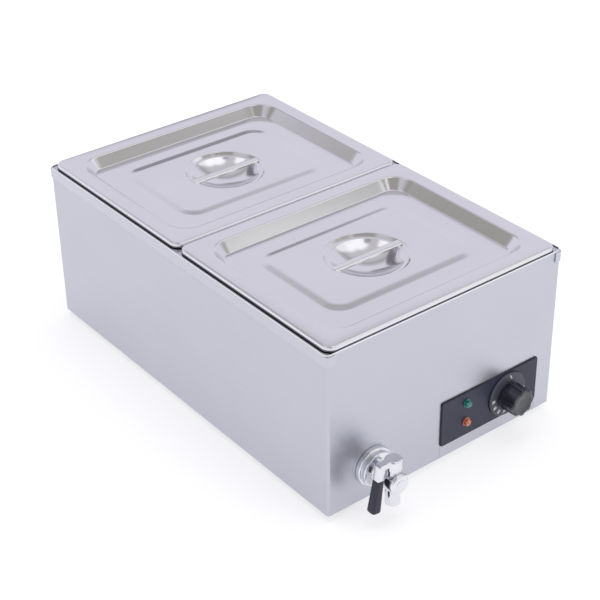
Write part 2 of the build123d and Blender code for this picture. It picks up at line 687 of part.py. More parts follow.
# Control box: a folded tray whose front closes the notch in the shell, open above and behind
BOX_WIDTH = PANEL_WIDTH - 2 * FIT_GAP
with BuildPart() as control_box:
    with BuildSketch(front(0)):
        with Locations((PANEL_X, 0)):
            Rectangle(BOX_WIDTH, NOTCH_HEIGHT - FIT_GAP, align=(Align.CENTER, Align.MIN))
    extrude(amount=-BOX_DEPTH)
    with BuildSketch(front(-SHEET)):
        with Locations((PANEL_X, SHEET)):
            Rectangle(BOX_WIDTH - 2 * SHEET, NOTCH_HEIGHT, align=(Align.CENTER, Align.MIN))
    extrude(amount=-BOX_DEPTH, mode=Mode.SUBTRACT)
    with BuildSketch(front(0)):
        with Locations((KNOB_X, FASCIA_RISE)):
            Circle(BUSHING_RADIUS + THREAD_GAP)
            with GridLocations(THERMOSTAT_SCREW_PITCH, 0, 2, 1):
                Circle(THERMOSTAT_SCREW_RADIUS + THREAD_GAP)
        with Locations(*((LAMP_X, rise) for rise in LAMP_RISES)):
            Circle(LAMP_RADIUS + THREAD_GAP)
    extrude(amount=-SHEET, mode=Mode.SUBTRACT)
    with BuildSketch(Plane.XY.offset(SHELL_BOTTOM)):
        with Locations(FOOT_POINTS[1]):
            Circle(FOOT_SCREW_RADIUS + THREAD_GAP)
    extrude(amount=SHEET, mode=Mode.SUBTRACT)
control_box.part.label = "control_box"
export_step(control_box.part, "parts/control_box.step")


# Control fascia: the dark plate in front of the box
with BuildPart() as control_fascia:
    with BuildSketch(front(0)):
        with Locations((PANEL_X, FASCIA_RISE)):
            RectangleRounded(PANEL_WIDTH, FASCIA_HEIGHT, FASCIA_CORNER)
    extrude(amount=FASCIA_THICKNESS)
    fillet(control_fascia.faces().sort_by(Axis.Y)[0].edges(), FASCIA_BEVEL)
    with BuildSketch(front(0)):
        with Locations((KNOB_X, FASCIA_RISE)):
            Circle(BUSHING_RADIUS + THREAD_GAP)
            with GridLocations(THERMOSTAT_SCREW_PITCH, 0, 2, 1):
                Circle(THERMOSTAT_SCREW_HEAD_RADIUS + FIT_GAP)
        with Locations(*((LAMP_X, rise) for rise in LAMP_RISES)):
            Circle(LAMP_RADIUS + THREAD_GAP)
    extrude(amount=FASCIA_THICKNESS, mode=Mode.SUBTRACT)
control_fascia.part.label = "control_fascia"
export_step(control_fascia.part, "parts/control_fascia.step")


# Thermostat body: a block behind the box front, with a bushing through it for the spindle
SPINDLE_TAIL = THERMOSTAT_DEPTH / 2
with BuildPart() as thermostat_body:
    with BuildSketch(front(-SHEET)):
        with Locations((KNOB_X, FASCIA_RISE)):
            RectangleRounded(THERMOSTAT_SIZE, THERMOSTAT_SIZE, FASCIA_CORNER)
    extrude(amount=-THERMOSTAT_DEPTH)
    with BuildSketch(front(-SHEET)):
        with Locations((KNOB_X, FASCIA_RISE)):
            Circle(BUSHING_RADIUS)
    extrude(amount=SHEET + FASCIA_THICKNESS)
    with BuildSketch(front(FASCIA_THICKNESS)):
        with Locations((KNOB_X, FASCIA_RISE)):
            Circle(SPINDLE_RADIUS + RUNNING_GAP)
    extrude(amount=-(SHEET + FASCIA_THICKNESS + SPINDLE_TAIL), mode=Mode.SUBTRACT)
    with BuildSketch(front(-SHEET)):
        with Locations((KNOB_X, FASCIA_RISE)):
            with GridLocations(THERMOSTAT_SCREW_PITCH, 0, 2, 1):
                Circle(THERMOSTAT_SCREW_RADIUS + THREAD_GAP)
    extrude(amount=-THERMOSTAT_SCREW_LENGTH, mode=Mode.SUBTRACT)
thermostat_body.part.label = "thermostat_body"
export_step(thermostat_body.part, "parts/thermostat_body.step")


# Thermostat screws: low heads on the box front, covered by the dial skirt
with BuildPart() as thermostat_screws:
    with BuildSketch(front(0)):
        with Locations((KNOB_X, FASCIA_RISE)):
            with GridLocations(THERMOSTAT_SCREW_PITCH, 0, 2, 1):
                Circle(THERMOSTAT_SCREW_HEAD_RADIUS)
    extrude(amount=THERMOSTAT_SCREW_HEAD)
    with BuildSketch(front(0)):
        with Locations((KNOB_X, FASCIA_RISE)):
            with GridLocations(THERMOSTAT_SCREW_PITCH, 0, 2, 1):
                Circle(THERMOSTAT_SCREW_RADIUS)
    extrude(amount=-THERMOSTAT_SCREW_LENGTH)
thermostat_screws.part.label = "thermostat_screws"
export_step(thermostat_screws.part, "parts/thermostat_screws.step")


# Thermostat spindle: turns with the knob, with a flat at its tip
SKIRT_BACK = FASCIA_THICKNESS + SKIRT_LIFT
SPINDLE_TIP = SKIRT_BACK + SPINDLE_REACH
SPINDLE_END = -(SHEET + SPINDLE_TAIL - FIT_GAP)
with BuildPart() as thermostat_spindle:
    with BuildSketch(front(SPINDLE_END)):
        with Locations((KNOB_X, FASCIA_RISE)):
            Circle(SPINDLE_RADIUS)
    extrude(amount=SPINDLE_TIP - SPINDLE_END)
    with BuildSketch(front(SPINDLE_TIP)):
        with Locations((KNOB_X, FASCIA_RISE + SPINDLE_RADIUS)):
            Rectangle(2 * SPINDLE_RADIUS, 2 * SPINDLE_FLAT)
    extrude(amount=-SPINDLE_REACH, mode=Mode.SUBTRACT)
thermostat_spindle.part.label = "thermostat_spindle"
export_step(thermostat_spindle.part, "parts/thermostat_spindle.step")


# Dial skirt: the graduated disc at the foot of the knob
with BuildPart() as dial_skirt:
    with BuildSketch(front(SKIRT_BACK)):
        with Locations((KNOB_X, FASCIA_RISE)):
            Circle(SKIRT_RADIUS)
    extrude(amount=SKIRT_THICKNESS)
    chamfer(dial_skirt.faces().sort_by(Axis.Y)[0].edges(), SKIRT_BEVEL)
    with BuildSketch(front(SKIRT_BACK)):
        with Locations((KNOB_X, FASCIA_RISE)):
            Circle(SPINDLE_RADIUS + RUNNING_GAP)
    extrude(amount=SKIRT_THICKNESS, mode=Mode.SUBTRACT)
dial_skirt.part.label = "dial_skirt"
export_step(dial_skirt.part, "parts/dial_skirt.step")


# Knob: a fluted grip on a short neck, with a grooved pointer rib at the top and a dished face
GRIP_BACK = SKIRT_BACK + SKIRT_THICKNESS
FLUTE_CIRCLE = GRIP_BASE_RADIUS + FLUTE_RADIUS - FLUTE_DEPTH
with BuildPart() as thermostat_knob:
    with BuildSketch(front(GRIP_BACK)):
        with Locations((KNOB_X, FASCIA_RISE)):
            Circle(GRIP_BASE_RADIUS)
    extrude(amount=GRIP_LENGTH, taper=GRIP_DRAFT)
    fillet(thermostat_knob.faces().sort_by(Axis.Y)[0].edges(), GRIP_EDGE)
    with BuildSketch(front(GRIP_BACK)):
        with Locations((KNOB_X, FASCIA_RISE)):
            with PolarLocations(FLUTE_CIRCLE, GRIP_FLUTES, start_angle=90 + 180 / GRIP_FLUTES):
                Circle(FLUTE_RADIUS)
    extrude(amount=GRIP_LENGTH, taper=-GRIP_DRAFT, mode=Mode.SUBTRACT)
    with BuildSketch(front(GRIP_BACK)):
        with Locations((KNOB_X, FASCIA_RISE + GRIP_BASE_RADIUS + POINTER_PROUD)):
            Rectangle(POINTER_WIDTH, GRIP_BASE_RADIUS / 2, align=(Align.CENTER, Align.MAX))
    extrude(amount=GRIP_LENGTH - GRIP_EDGE, taper=GRIP_DRAFT)
    with BuildSketch(front(GRIP_BACK)):
        with Locations((KNOB_X, FASCIA_RISE + GRIP_BASE_RADIUS + POINTER_PROUD)):
            Rectangle(POINTER_GROOVE, 2 * POINTER_GROOVE)
    extrude(amount=GRIP_LENGTH, mode=Mode.SUBTRACT)
    with BuildSketch(front(GRIP_BACK + GRIP_LENGTH)):
        with Locations((KNOB_X, FASCIA_RISE)):
            Circle(FACE_DISH_RADIUS)
    extrude(amount=-FACE_DISH_DEPTH, mode=Mode.SUBTRACT)
    with BuildSketch(front(GRIP_BACK)):
        with Locations((KNOB_X, FASCIA_RISE)):
            Circle(SKIRT_RADIUS)
            Circle(NECK_RADIUS, mode=Mode.SUBTRACT)
    extrude(amount=NECK_LENGTH, mode=Mode.SUBTRACT)
    with BuildSketch(front(GRIP_BACK)):
        with Locations((KNOB_X, FASCIA_RISE)):
            Circle(SPINDLE_RADIUS + RUNNING_GAP)
    extrude(amount=SPINDLE_TIP - GRIP_BACK + FIT_GAP, mode=Mode.SUBTRACT)
thermostat_knob.part.label = "thermostat_knob"
export_step(thermostat_knob.part, "parts/thermostat_knob.step")


# Sensor bulb: lies under the well floor, with its capillary led back to the thermostat
THERMOSTAT_BACK = FRONT_Y + SHEET + THERMOSTAT_DEPTH
BULB_Z = WELL_UNDERSIDE - BULB_RADIUS - THREAD_GAP
BULB_START = FRONT_Y + BULB_SETBACK
CAPILLARY_Z = SHELL_BOTTOM + FASCIA_RISE - THERMOSTAT_SIZE / 4
CAPILLARY_X = KNOB_X - THERMOSTAT_SIZE / 3
with BuildPart() as sensor_bulb:
    with BuildLine():
        capillary = FilletPolyline(
            (CAPILLARY_X, THERMOSTAT_BACK, CAPILLARY_Z),
            (CAPILLARY_X, THERMOSTAT_BACK + CAPILLARY_RUN, CAPILLARY_Z),
            (BULB_X, THERMOSTAT_BACK + 1.5 * CAPILLARY_RUN, CAPILLARY_Z),
            (BULB_X, BULB_START - CAPILLARY_RUN, BULB_Z),
            (BULB_X, BULB_START, BULB_Z),
            radius=CAPILLARY_BEND,
        )
    with BuildSketch(Plane(capillary @ 0, z_dir=capillary % 0)):
        Circle(CAPILLARY_RADIUS)
    sweep(path=capillary)
    with BuildSketch(Plane((BULB_X, BULB_START, BULB_Z), z_dir=(0, 1, 0))):
        Circle(BULB_RADIUS)
    extrude(amount=BULB_LENGTH)
    fillet(sensor_bulb.faces().sort_by(Axis.Y)[-1].edges(), BULB_RADIUS / 2)
sensor_bulb.part.label = "sensor_bulb"
export_step(sensor_bulb.part, "parts/sensor_bulb.step")


# Bulb clips: saddles spot-welded under the well floor round the bulb
CLIP_RADIUS = BULB_RADIUS + THREAD_GAP
CLIP_MID = BULB_START + BULB_LENGTH / 2
with BuildPart() as bulb_clips:
    for offset_y in (-CLIP_PITCH / 2, CLIP_PITCH / 2):
        with BuildSketch(Plane((BULB_X, CLIP_MID + offset_y, BULB_Z), x_dir=(1, 0, 0), z_dir=(0, -1, 0))):
            Circle(CLIP_RADIUS + CLIP_SHEET)
            with Locations((0, CLIP_RADIUS)):
                Rectangle(2 * (CLIP_RADIUS + CLIP_EAR), CLIP_SHEET, align=(Align.CENTER, Align.MAX))
                Rectangle(2 * (CLIP_RADIUS + CLIP_SHEET), CLIP_RADIUS, align=(Align.CENTER, Align.MAX))
            with Locations((0, CLIP_RADIUS)):
                Rectangle(2 * CLIP_RADIUS, CLIP_RADIUS, align=(Align.CENTER, Align.MAX), mode=Mode.SUBTRACT)
                Rectangle(
                    4 * CLIP_RADIUS, 2 * CLIP_RADIUS, align=(Align.CENTER, Align.MIN), mode=Mode.SUBTRACT
                )
            Circle(CLIP_RADIUS, mode=Mode.SUBTRACT)
        extrude(amount=CLIP_WIDTH / 2, both=True)
bulb_clips.part.label = "bulb_clips"
export_step(bulb_clips.part, "parts/bulb_clips.step")


# Pilot lamps: a domed lens on the fascia, its holder behind, a push-on clip against the box
for lens_name, rise in (("green_lens", LAMP_RISES[0]), ("orange_lens", LAMP_RISES[1])):
    with BuildPart() as lens:
        with BuildSketch(front(FASCIA_THICKNESS)):
            with Locations((LAMP_X, rise)):
                Circle(LAMP_FLANGE_RADIUS)
        extrude(amount=LAMP_FLANGE)
        with BuildSketch(front(FASCIA_THICKNESS + LAMP_FLANGE)):
            with Locations((LAMP_X, rise)):
                Circle(LAMP_RADIUS)
        extrude(amount=LAMP_DOME - LAMP_FLANGE)
        fillet(lens.faces().sort_by(Axis.Y)[0].edges(), LAMP_DOME_EDGE)
    lens.part.label = lens_name
    export_step(lens.part, f"parts/{lens_name}.step")

with BuildPart() as lamp_holders:
    with BuildSketch(front(FASCIA_THICKNESS)):
        with Locations(*((LAMP_X, rise) for rise in LAMP_RISES)):
            Circle(LAMP_RADIUS)
    extrude(amount=-LAMP_BODY_LENGTH)
lamp_holders.part.label = "lamp_holders"
export_step(lamp_holders.part, "parts/lamp_holders.step")

with BuildPart() as lamp_clips:
    with BuildSketch(front(-SHEET)):
        with Locations(*((LAMP_X, rise) for rise in LAMP_RISES)):
            Circle(LAMP_CLIP_RADIUS)
            Circle(LAMP_RADIUS + THREAD_GAP, mode=Mode.SUBTRACT)
    extrude(amount=-LAMP_CLIP)
lamp_clips.part.label = "lamp_clips"
export_step(lamp_clips.part, "parts/lamp_clips.step")


# Terminal block: on the base plate behind the control box, with a row of screw wells
with BuildPart() as terminal_block:
    with BuildSketch(Plane((BLOCK_X, FRONT_Y + BLOCK_SETBACK, SHELL_BOTTOM))):
        Rectangle(BLOCK_WIDTH, BLOCK_DEPTH)
    extrude(amount=BLOCK_HEIGHT)
    with BuildSketch(Plane((BLOCK_X, FRONT_Y + BLOCK_SETBACK, SHELL_BOTTOM + BLOCK_HEIGHT))):
        with GridLocations(BLOCK_WIDTH / BLOCK_POLES, BLOCK_DEPTH / 2, BLOCK_POLES, 2):
            Circle(BLOCK_WELL_RADIUS)
    extrude(amount=-BLOCK_WELL_DEPTH, mode=Mode.SUBTRACT)
terminal_block.part.label = "terminal_block"
export_step(terminal_block.part, "parts/terminal_block.step")


# Cable gland on the rear wall: hexagon collar, domed nut, thread through the wall, open bore
with BuildPart() as cable_gland:
    with BuildSketch(rear(0)):
        with Locations((-GLAND_X, GLAND_RISE)):
            RegularPolygon(GLAND_HEX / 2, 6, major_radius=False)
    extrude(amount=GLAND_COLLAR)
    with BuildSketch(rear(GLAND_COLLAR)):
        with Locations((-GLAND_X, GLAND_RISE)):
            Circle(GLAND_DOME_RADIUS)
    extrude(amount=GLAND_DOME)
    fillet(cable_gland.faces().sort_by(Axis.Y)[-1].edges(), GLAND_DOME_EDGE)
    with BuildSketch(rear(0)):
        with Locations((-GLAND_X, GLAND_RISE)):
            Circle(GLAND_THREAD_RADIUS)
    extrude(amount=-GLAND_THREAD_LENGTH)
    with BuildSketch(rear(GLAND_REACH)):
        with Locations((-GLAND_X, GLAND_RISE)):
            Circle(GLAND_BORE_RADIUS)
    extrude(amount=-(GLAND_REACH + GLAND_THREAD_LENGTH), mode=Mode.SUBTRACT)
cable_gland.part.label = "cable_gland"
export_step(cable_gland.part, "parts/cable_gland.step")

with BuildPart() as gland_locknut:
    with BuildSketch(rear(-SHEET)):
        with Locations((-GLAND_X, GLAND_RISE)):
            RegularPolygon(GLAND_HEX / 2, 6, major_radius=False)
            Circle(GLAND_THREAD_RADIUS + THREAD_GAP, mode=Mode.SUBTRACT)
    extrude(amount=-GLAND_LOCKNUT)
gland_locknut.part.label = "gland_locknut"
export_step(gland_locknut.part, "parts/gland_locknut.step")


# Heating element: one bent tube, up through the floor, four legs along the well and down again
ELEMENT_INNER_X = ELEMENT_PITCH / 2
ELEMENT_INNER_Y = FRONT_Y + ELEMENT_INNER_SETBACK
ELEMENT_REAR_Y = REAR_Y - ELEMENT_REAR_SETBACK
TAIL_END = WELL_UNDERSIDE - ELEMENT_TAIL
ELEMENT_ROUTE = (
    (ELEMENT_LEG_X, ELEMENT_FRONT_Y, TAIL_END),
    (ELEMENT_LEG_X, ELEMENT_FRONT_Y, ELEMENT_Z),
    (ELEMENT_LEG_X, ELEMENT_REAR_Y, ELEMENT_Z),
    (ELEMENT_INNER_X, ELEMENT_REAR_Y, ELEMENT_Z),
    (ELEMENT_INNER_X, ELEMENT_INNER_Y, ELEMENT_Z),
    (-ELEMENT_INNER_X, ELEMENT_INNER_Y, ELEMENT_Z),
    (-ELEMENT_INNER_X, ELEMENT_REAR_Y, ELEMENT_Z),
    (-ELEMENT_LEG_X, ELEMENT_REAR_Y, ELEMENT_Z),
    (-ELEMENT_LEG_X, ELEMENT_FRONT_Y, ELEMENT_Z),
    (ELEMENT_RETURN_X, ELEMENT_FRONT_Y, ELEMENT_Z),
    (ELEMENT_RETURN_X, ELEMENT_FRONT_Y, TAIL_END),
)
ELEMENT_BENDS = [ELEMENT_DIP_BEND] + 7 * [ELEMENT_TURN] + [ELEMENT_DIP_BEND]
with BuildPart() as heating_element:
    with BuildLine():
        tube_path = FilletPolyline(*ELEMENT_ROUTE, radius=ELEMENT_BENDS)
    with BuildSketch(Plane(tube_path @ 0, z_dir=tube_path % 0)):
        Circle(ELEMENT_RADIUS)
    sweep(path=tube_path)
    with BuildSketch(Plane.XY.offset(TAIL_END)):
        with Locations(*TAIL_POINTS):
            Circle(ELEMENT_PIN_RADIUS)
    extrude(amount=-ELEMENT_PIN)
heating_element.part.label = "heating_element"
export_step(heating_element.part, "parts/heating_element.step")


# Element bushes: threaded sleeves round the two tails, sealed on the floor, nutted from below
BUSH_SEAT = WELL_FLOOR + BUSH_GASKET
with BuildPart() as element_bushes:
    with BuildSketch(Plane.XY.offset(BUSH_SEAT)):
        with Locations(*TAIL_POINTS):
            RegularPolygon(BUSH_HEX / 2, 6, major_radius=False)
    extrude(amount=BUSH_HEAD)
    with BuildSketch(Plane.XY.offset(BUSH_SEAT)):
        with Locations(*TAIL_POINTS):
            Circle(BUSH_RADIUS)
    extrude(amount=-BUSH_THREAD)
    with BuildSketch(Plane.XY.offset(BUSH_SEAT + BUSH_HEAD)):
        with Locations(*TAIL_POINTS):
            Circle(ELEMENT_RADIUS + THREAD_GAP)
    extrude(amount=-(BUSH_HEAD + BUSH_THREAD), mode=Mode.SUBTRACT)
element_bushes.part.label = "element_bushes"
export_step(element_bushes.part, "parts/element_bushes.step")

with BuildPart() as element_gaskets:
    with BuildSketch(Plane.XY.offset(WELL_FLOOR)):
        with Locations(*TAIL_POINTS):
            Circle(BUSH_GASKET_RADIUS)
            Circle(BUSH_RADIUS + THREAD_GAP, mode=Mode.SUBTRACT)
    extrude(amount=BUSH_GASKET)
element_gaskets.part.label = "element_gaskets"
export_step(element_gaskets.part, "parts/element_gaskets.step")

with BuildPart() as element_nuts:
    with BuildSketch(Plane.XY.offset(WELL_UNDERSIDE)):
        with Locations(*TAIL_POINTS):
            RegularPolygon(BUSH_HEX / 2, 6, major_radius=False)
            Circle(BUSH_RADIUS + THREAD_GAP, mode=Mode.SUBTRACT)
    extrude(amount=-BUSH_NUT)
element_nuts.part.label = "element_nuts"
export_step(element_nuts.part, "parts/element_nuts.step")


# Element saddles: notched plates on the well floor that carry the long legs
SADDLE_MIDDLE = (ELEMENT_INNER_Y + ELEMENT_REAR_Y) / 2
SADDLE_PITCH = ELEMENT_REAR_Y - ELEMENT_INNER_Y - 2 * SADDLE_INSET
with BuildPart() as element_saddles:
    with BuildSketch(Plane((0, SADDLE_MIDDLE, WELL_FLOOR))):
        with GridLocations(ELEMENT_PITCH, SADDLE_PITCH, 4, 2):
            Rectangle(SADDLE_WIDTH, SADDLE_THICKNESS)
    extrude(amount=ELEMENT_RISE)
    with BuildSketch(Plane((0, SADDLE_MIDDLE, ELEMENT_Z), x_dir=(1, 0, 0), z_dir=(0, -1, 0))):
        with GridLocations(ELEMENT_PITCH, 0, 4, 1):
            Circle(ELEMENT_RADIUS + THREAD_GAP)
    extrude(amount=SADDLE_PITCH, both=True, mode=Mode.SUBTRACT)
element_saddles.part.label = "element_saddles"
export_step(element_saddles.part, "parts/element_saddles.step")


# Drain flange: a flanged tail through the well floor
TAIL_SHOULDER = TAP_Z + DRAIN_BEND
DRAIN_POINT = (TAP_X, DRAIN_Y)
with BuildPart() as drain_flange:
    with BuildSketch(Plane.XY.offset(WELL_FLOOR)):
        with Locations(DRAIN_POINT):
            Circle(DRAIN_FLANGE_RADIUS)
    extrude(amount=DRAIN_FLANGE)
    chamfer(drain_flange.faces().sort_by(Axis.Z)[-1].edges(), DRAIN_FLANGE / 2)
    with BuildSketch(Plane.XY.offset(WELL_FLOOR)):
        with Locations(DRAIN_POINT):
            Circle(PIPE_RADIUS)
    extrude(amount=TAIL_SHOULDER - WELL_FLOOR)
    with BuildSketch(Plane.XY.offset(WELL_FLOOR + DRAIN_FLANGE)):
        with Locations(DRAIN_POINT):
            Circle(PIPE_BORE)
    extrude(amount=TAIL_SHOULDER - WELL_FLOOR - DRAIN_FLANGE, mode=Mode.SUBTRACT)
drain_flange.part.label = "drain_flange"
export_step(drain_flange.part, "parts/drain_flange.step")

with BuildPart() as drain_gasket:
    with BuildSketch(Plane.XY.offset(WELL_UNDERSIDE)):
        with Locations(DRAIN_POINT):
            Circle(DRAIN_FLANGE_RADIUS)
            Circle(PIPE_RADIUS + THREAD_GAP, mode=Mode.SUBTRACT)
    extrude(amount=-DRAIN_GASKET)
drain_gasket.part.label = "drain_gasket"
export_step(drain_gasket.part, "parts/drain_gasket.step")

with BuildPart() as drain_nut:
    with BuildSketch(Plane.XY.offset(WELL_UNDERSIDE - DRAIN_GASKET)):
        with Locations(DRAIN_POINT):
            RegularPolygon(DRAIN_NUT_HEX / 2, 6, major_radius=False)
            Circle(PIPE_RADIUS + THREAD_GAP, mode=Mode.SUBTRACT)
    extrude(amount=-DRAIN_NUT)
drain_nut.part.label = "drain_nut"
export_step(drain_nut.part, "parts/drain_nut.step")


# Drain elbow: a quarter bend with a socket on each end, one for the drain tail, one for the tap tail
BEND_Y = DRAIN_Y - DRAIN_BEND
with BuildPart() as drain_elbow:
    with BuildSketch(Plane.XY.offset(TAIL_SHOULDER)):
        with Locations(DRAIN_POINT):
            Circle(ELBOW_RADIUS)
            Circle(PIPE_BORE, mode=Mode.SUBTRACT)
    revolve(axis=Axis((0, BEND_Y, TAIL_SHOULDER), (-1, 0, 0)), revolution_arc=90)
    with BuildSketch(Plane.XY.offset(TAIL_SHOULDER)):
        with Locations(DRAIN_POINT):
            Circle(SOCKET_RADIUS)
            Circle(PIPE_RADIUS + THREAD_GAP, mode=Mode.SUBTRACT)
    extrude(amount=SOCKET_LENGTH)
    with BuildSketch(Plane((TAP_X, BEND_Y, TAP_Z), x_dir=(1, 0, 0), z_dir=(0, -1, 0))):
        Circle(SOCKET_RADIUS)
        Circle(PIPE_RADIUS + THREAD_GAP, mode=Mode.SUBTRACT)
    extrude(amount=SOCKET_LENGTH)
drain_elbow.part.label = "drain_elbow"
export_step(drain_elbow.part, "parts/drain_elbow.step")


# Tap fixings on the front wall: outside a gasket under a cupped rosette, inside the backnut
TAP_POINT = (TAP_X, TAP_RISE)
with BuildPart() as tap_gasket:
    with BuildSketch(front(0)):
        with Locations(TAP_POINT):
            Circle(TAP_GASKET_RADIUS)
            Circle(PIPE_RADIUS + THREAD_GAP, mode=Mode.SUBTRACT)
    extrude(amount=TAP_GASKET)
tap_gasket.part.label = "tap_gasket"
export_step(tap_gasket.part, "parts/tap_gasket.step")

with BuildPart() as tap_rosette:
    with BuildSketch(front(TAP_GASKET)):
        with Locations(TAP_POINT):
            Circle(ROSETTE_RADIUS)
    extrude(amount=ROSETTE)
    fillet(tap_rosette.faces().sort_by(Axis.Y)[0].edges(), ROSETTE_EDGE)
    with BuildSketch(front(FIT_GAP)):
        with Locations(TAP_POINT):
            Circle(ROSETTE_RADIUS)
            Circle(TAP_GASKET_RADIUS + FIT_GAP, mode=Mode.SUBTRACT)
    extrude(amount=TAP_GASKET - FIT_GAP)
    with BuildSketch(front(TAP_GASKET)):
        with Locations(TAP_POINT):
            Circle(PIPE_RADIUS + THREAD_GAP)
    extrude(amount=ROSETTE, mode=Mode.SUBTRACT)
tap_rosette.part.label = "tap_rosette"
export_step(tap_rosette.part, "parts/tap_rosette.step")

with BuildPart() as tap_backnut:
    with BuildSketch(front(-SHEET)):
        with Locations(TAP_POINT):
            RegularPolygon(TAP_BACKNUT_HEX / 2, 6, major_radius=False)
            Circle(PIPE_RADIUS + THREAD_GAP, mode=Mode.SUBTRACT)
    extrude(amount=-TAP_BACKNUT)
tap_backnut.part.label = "tap_backnut"
export_step(tap_backnut.part, "parts/tap_backnut.step")


# Tap body: tail through the wall, round collar, neck, valve chamber open in front, spout below
COLLAR_BACK = TAP_GASKET + ROSETTE
COLLAR_FRONT = COLLAR_BACK + COLLAR
TAIL_BACK = FRONT_Y - BEND_Y
CHAMBER_BORE = BALL_RADIUS + FIT_GAP
SEAT_BACK = STEM_OUT - BALL_RADIUS
with BuildPart() as tap_body:
    with BuildSketch(front(TAIL_BACK)):
        with Locations(TAP_POINT):
            Circle(PIPE_RADIUS)
    extrude(amount=COLLAR_BACK - TAIL_BACK)
    with BuildSketch(front(COLLAR_BACK)):
        with Locations(TAP_POINT):
            Circle(COLLAR_RADIUS)
    extrude(amount=COLLAR)
    fillet(tap_body.faces().sort_by(Axis.Y)[0].edges(), COLLAR_EDGE)
    with BuildSketch(front(COLLAR_FRONT)):
        with Locations(TAP_POINT):
            Circle(NECK_RADIUS)
    extrude(amount=CHAMBER_BACK - COLLAR_FRONT)
    with BuildSketch(front(CHAMBER_BACK)):
        with Locations(TAP_POINT):
            Circle(CHAMBER_RADIUS)
    extrude(amount=CHAMBER_FRONT - CHAMBER_BACK)
    with BuildSketch(stem(-SPOUT_DROP)):
        Circle(SPOUT_RADIUS)
    extrude(amount=SPOUT_DROP)
    fillet(tap_body.faces().sort_by(Axis.Z)[0].edges(), SPOUT_EDGE)
    with BuildSketch(stem(0)):
        Circle(GLAND_NUT_RADIUS)
    extrude(amount=GLAND_NUT_BASE)
    with BuildSketch(front(CHAMBER_FRONT)):
        with Locations(TAP_POINT):
            Circle(CHAMBER_BORE)
    extrude(amount=-(CHAMBER_FRONT - SEAT_BACK), mode=Mode.SUBTRACT)
    with BuildSketch(front(CHAMBER_FRONT)):
        with Locations(TAP_POINT):
            Circle(SEAT_BORE)
    extrude(amount=-(CHAMBER_FRONT - TAIL_BACK), mode=Mode.SUBTRACT)
    with BuildSketch(front(TAIL_BACK)):
        with Locations(TAP_POINT):
            Circle(PIPE_BORE)
    extrude(amount=CHAMBER_BACK - TAIL_BACK, mode=Mode.SUBTRACT)
    with BuildSketch(stem(-SPOUT_DROP)):
        Circle(SPOUT_BORE)
    extrude(amount=SPOUT_BORE_DEPTH, mode=Mode.SUBTRACT)
    with BuildSketch(stem(-SPOUT_DROP)):
        Circle(BALL_PORT)
    extrude(amount=SPOUT_DROP, mode=Mode.SUBTRACT)
    with BuildSketch(stem(0)):
        Circle(STEM_RADIUS + RUNNING_GAP)
    extrude(amount=GLAND_NUT_TOP, mode=Mode.SUBTRACT)
tap_body.part.label = "tap_body"
export_step(tap_body.part, "parts/tap_body.step")


# Tap seat: the sealing ring behind the ball
with BuildPart() as tap_seat:
    with BuildSketch(front(SEAT_BACK)):
        with Locations(TAP_POINT):
            Circle(CHAMBER_BORE - THREAD_GAP)
            Circle(SEAT_BORE, mode=Mode.SUBTRACT)
    extrude(amount=SEAT_DEPTH)
    with Locations((TAP_X, STEM_Y, TAP_Z)):
        Sphere(BALL_RADIUS + FIT_GAP, mode=Mode.SUBTRACT)
tap_seat.part.label = "tap_seat"
export_step(tap_seat.part, "parts/tap_seat.step")


# Tap cap: a domed cover with a small boss, located in the chamber by a spigot
with BuildPart() as tap_cap:
    with BuildSketch(front(CHAMBER_FRONT)):
        with Locations(TAP_POINT):
            Circle(CHAMBER_RADIUS)
    extrude(amount=CAP_DOME)
    fillet(tap_cap.faces().sort_by(Axis.Y)[0].edges(), CAP_EDGE)
    with BuildSketch(front(CHAMBER_FRONT)):
        with Locations(TAP_POINT):
            Circle(CAP_BOSS_RADIUS)
    extrude(amount=CAP_DOME + CAP_BOSS)
    with BuildSketch(front(CHAMBER_FRONT)):
        with Locations(TAP_POINT):
            Circle(CHAMBER_BORE - THREAD_GAP)
            Circle(SEAT_BORE, mode=Mode.SUBTRACT)
    extrude(amount=-CAP_SPIGOT)
tap_cap.part.label = "tap_cap"
export_step(tap_cap.part, "parts/tap_cap.step")


# Gland nut: closes the stem's packing on top of the valve chamber
with BuildPart() as tap_gland_nut:
    with BuildSketch(stem(GLAND_NUT_BASE)):
        Circle(GLAND_NUT_RADIUS)
        Circle(STEM_RADIUS + RUNNING_GAP, mode=Mode.SUBTRACT)
    extrude(amount=GLAND_NUT_TOP - GLAND_NUT_BASE)
tap_gland_nut.part.label = "tap_gland_nut"
export_step(tap_gland_nut.part, "parts/tap_gland_nut.step")


# Tap ball: a port from below turns a corner to one side, with a slot on top for the stem's tang
with BuildPart() as tap_ball:
    with Locations((TAP_X, STEM_Y, TAP_Z)):
        Sphere(BALL_RADIUS)
    with BuildSketch(stem(0)):
        Circle(BALL_PORT)
    extrude(amount=-BALL_RADIUS, mode=Mode.SUBTRACT)
    with BuildSketch(Plane((TAP_X, STEM_Y, TAP_Z), z_dir=(1, 0, 0))):
        Circle(BALL_PORT)
    extrude(amount=BALL_RADIUS, mode=Mode.SUBTRACT)
    with BuildSketch(stem(BALL_RADIUS)):
        Rectangle(2 * BALL_RADIUS, STEM_TANG + 2 * THREAD_GAP)
    extrude(amount=-STEM_TANG_DEPTH, mode=Mode.SUBTRACT)
tap_ball.part.label = "tap_ball"
export_step(tap_ball.part, "parts/tap_ball.step")


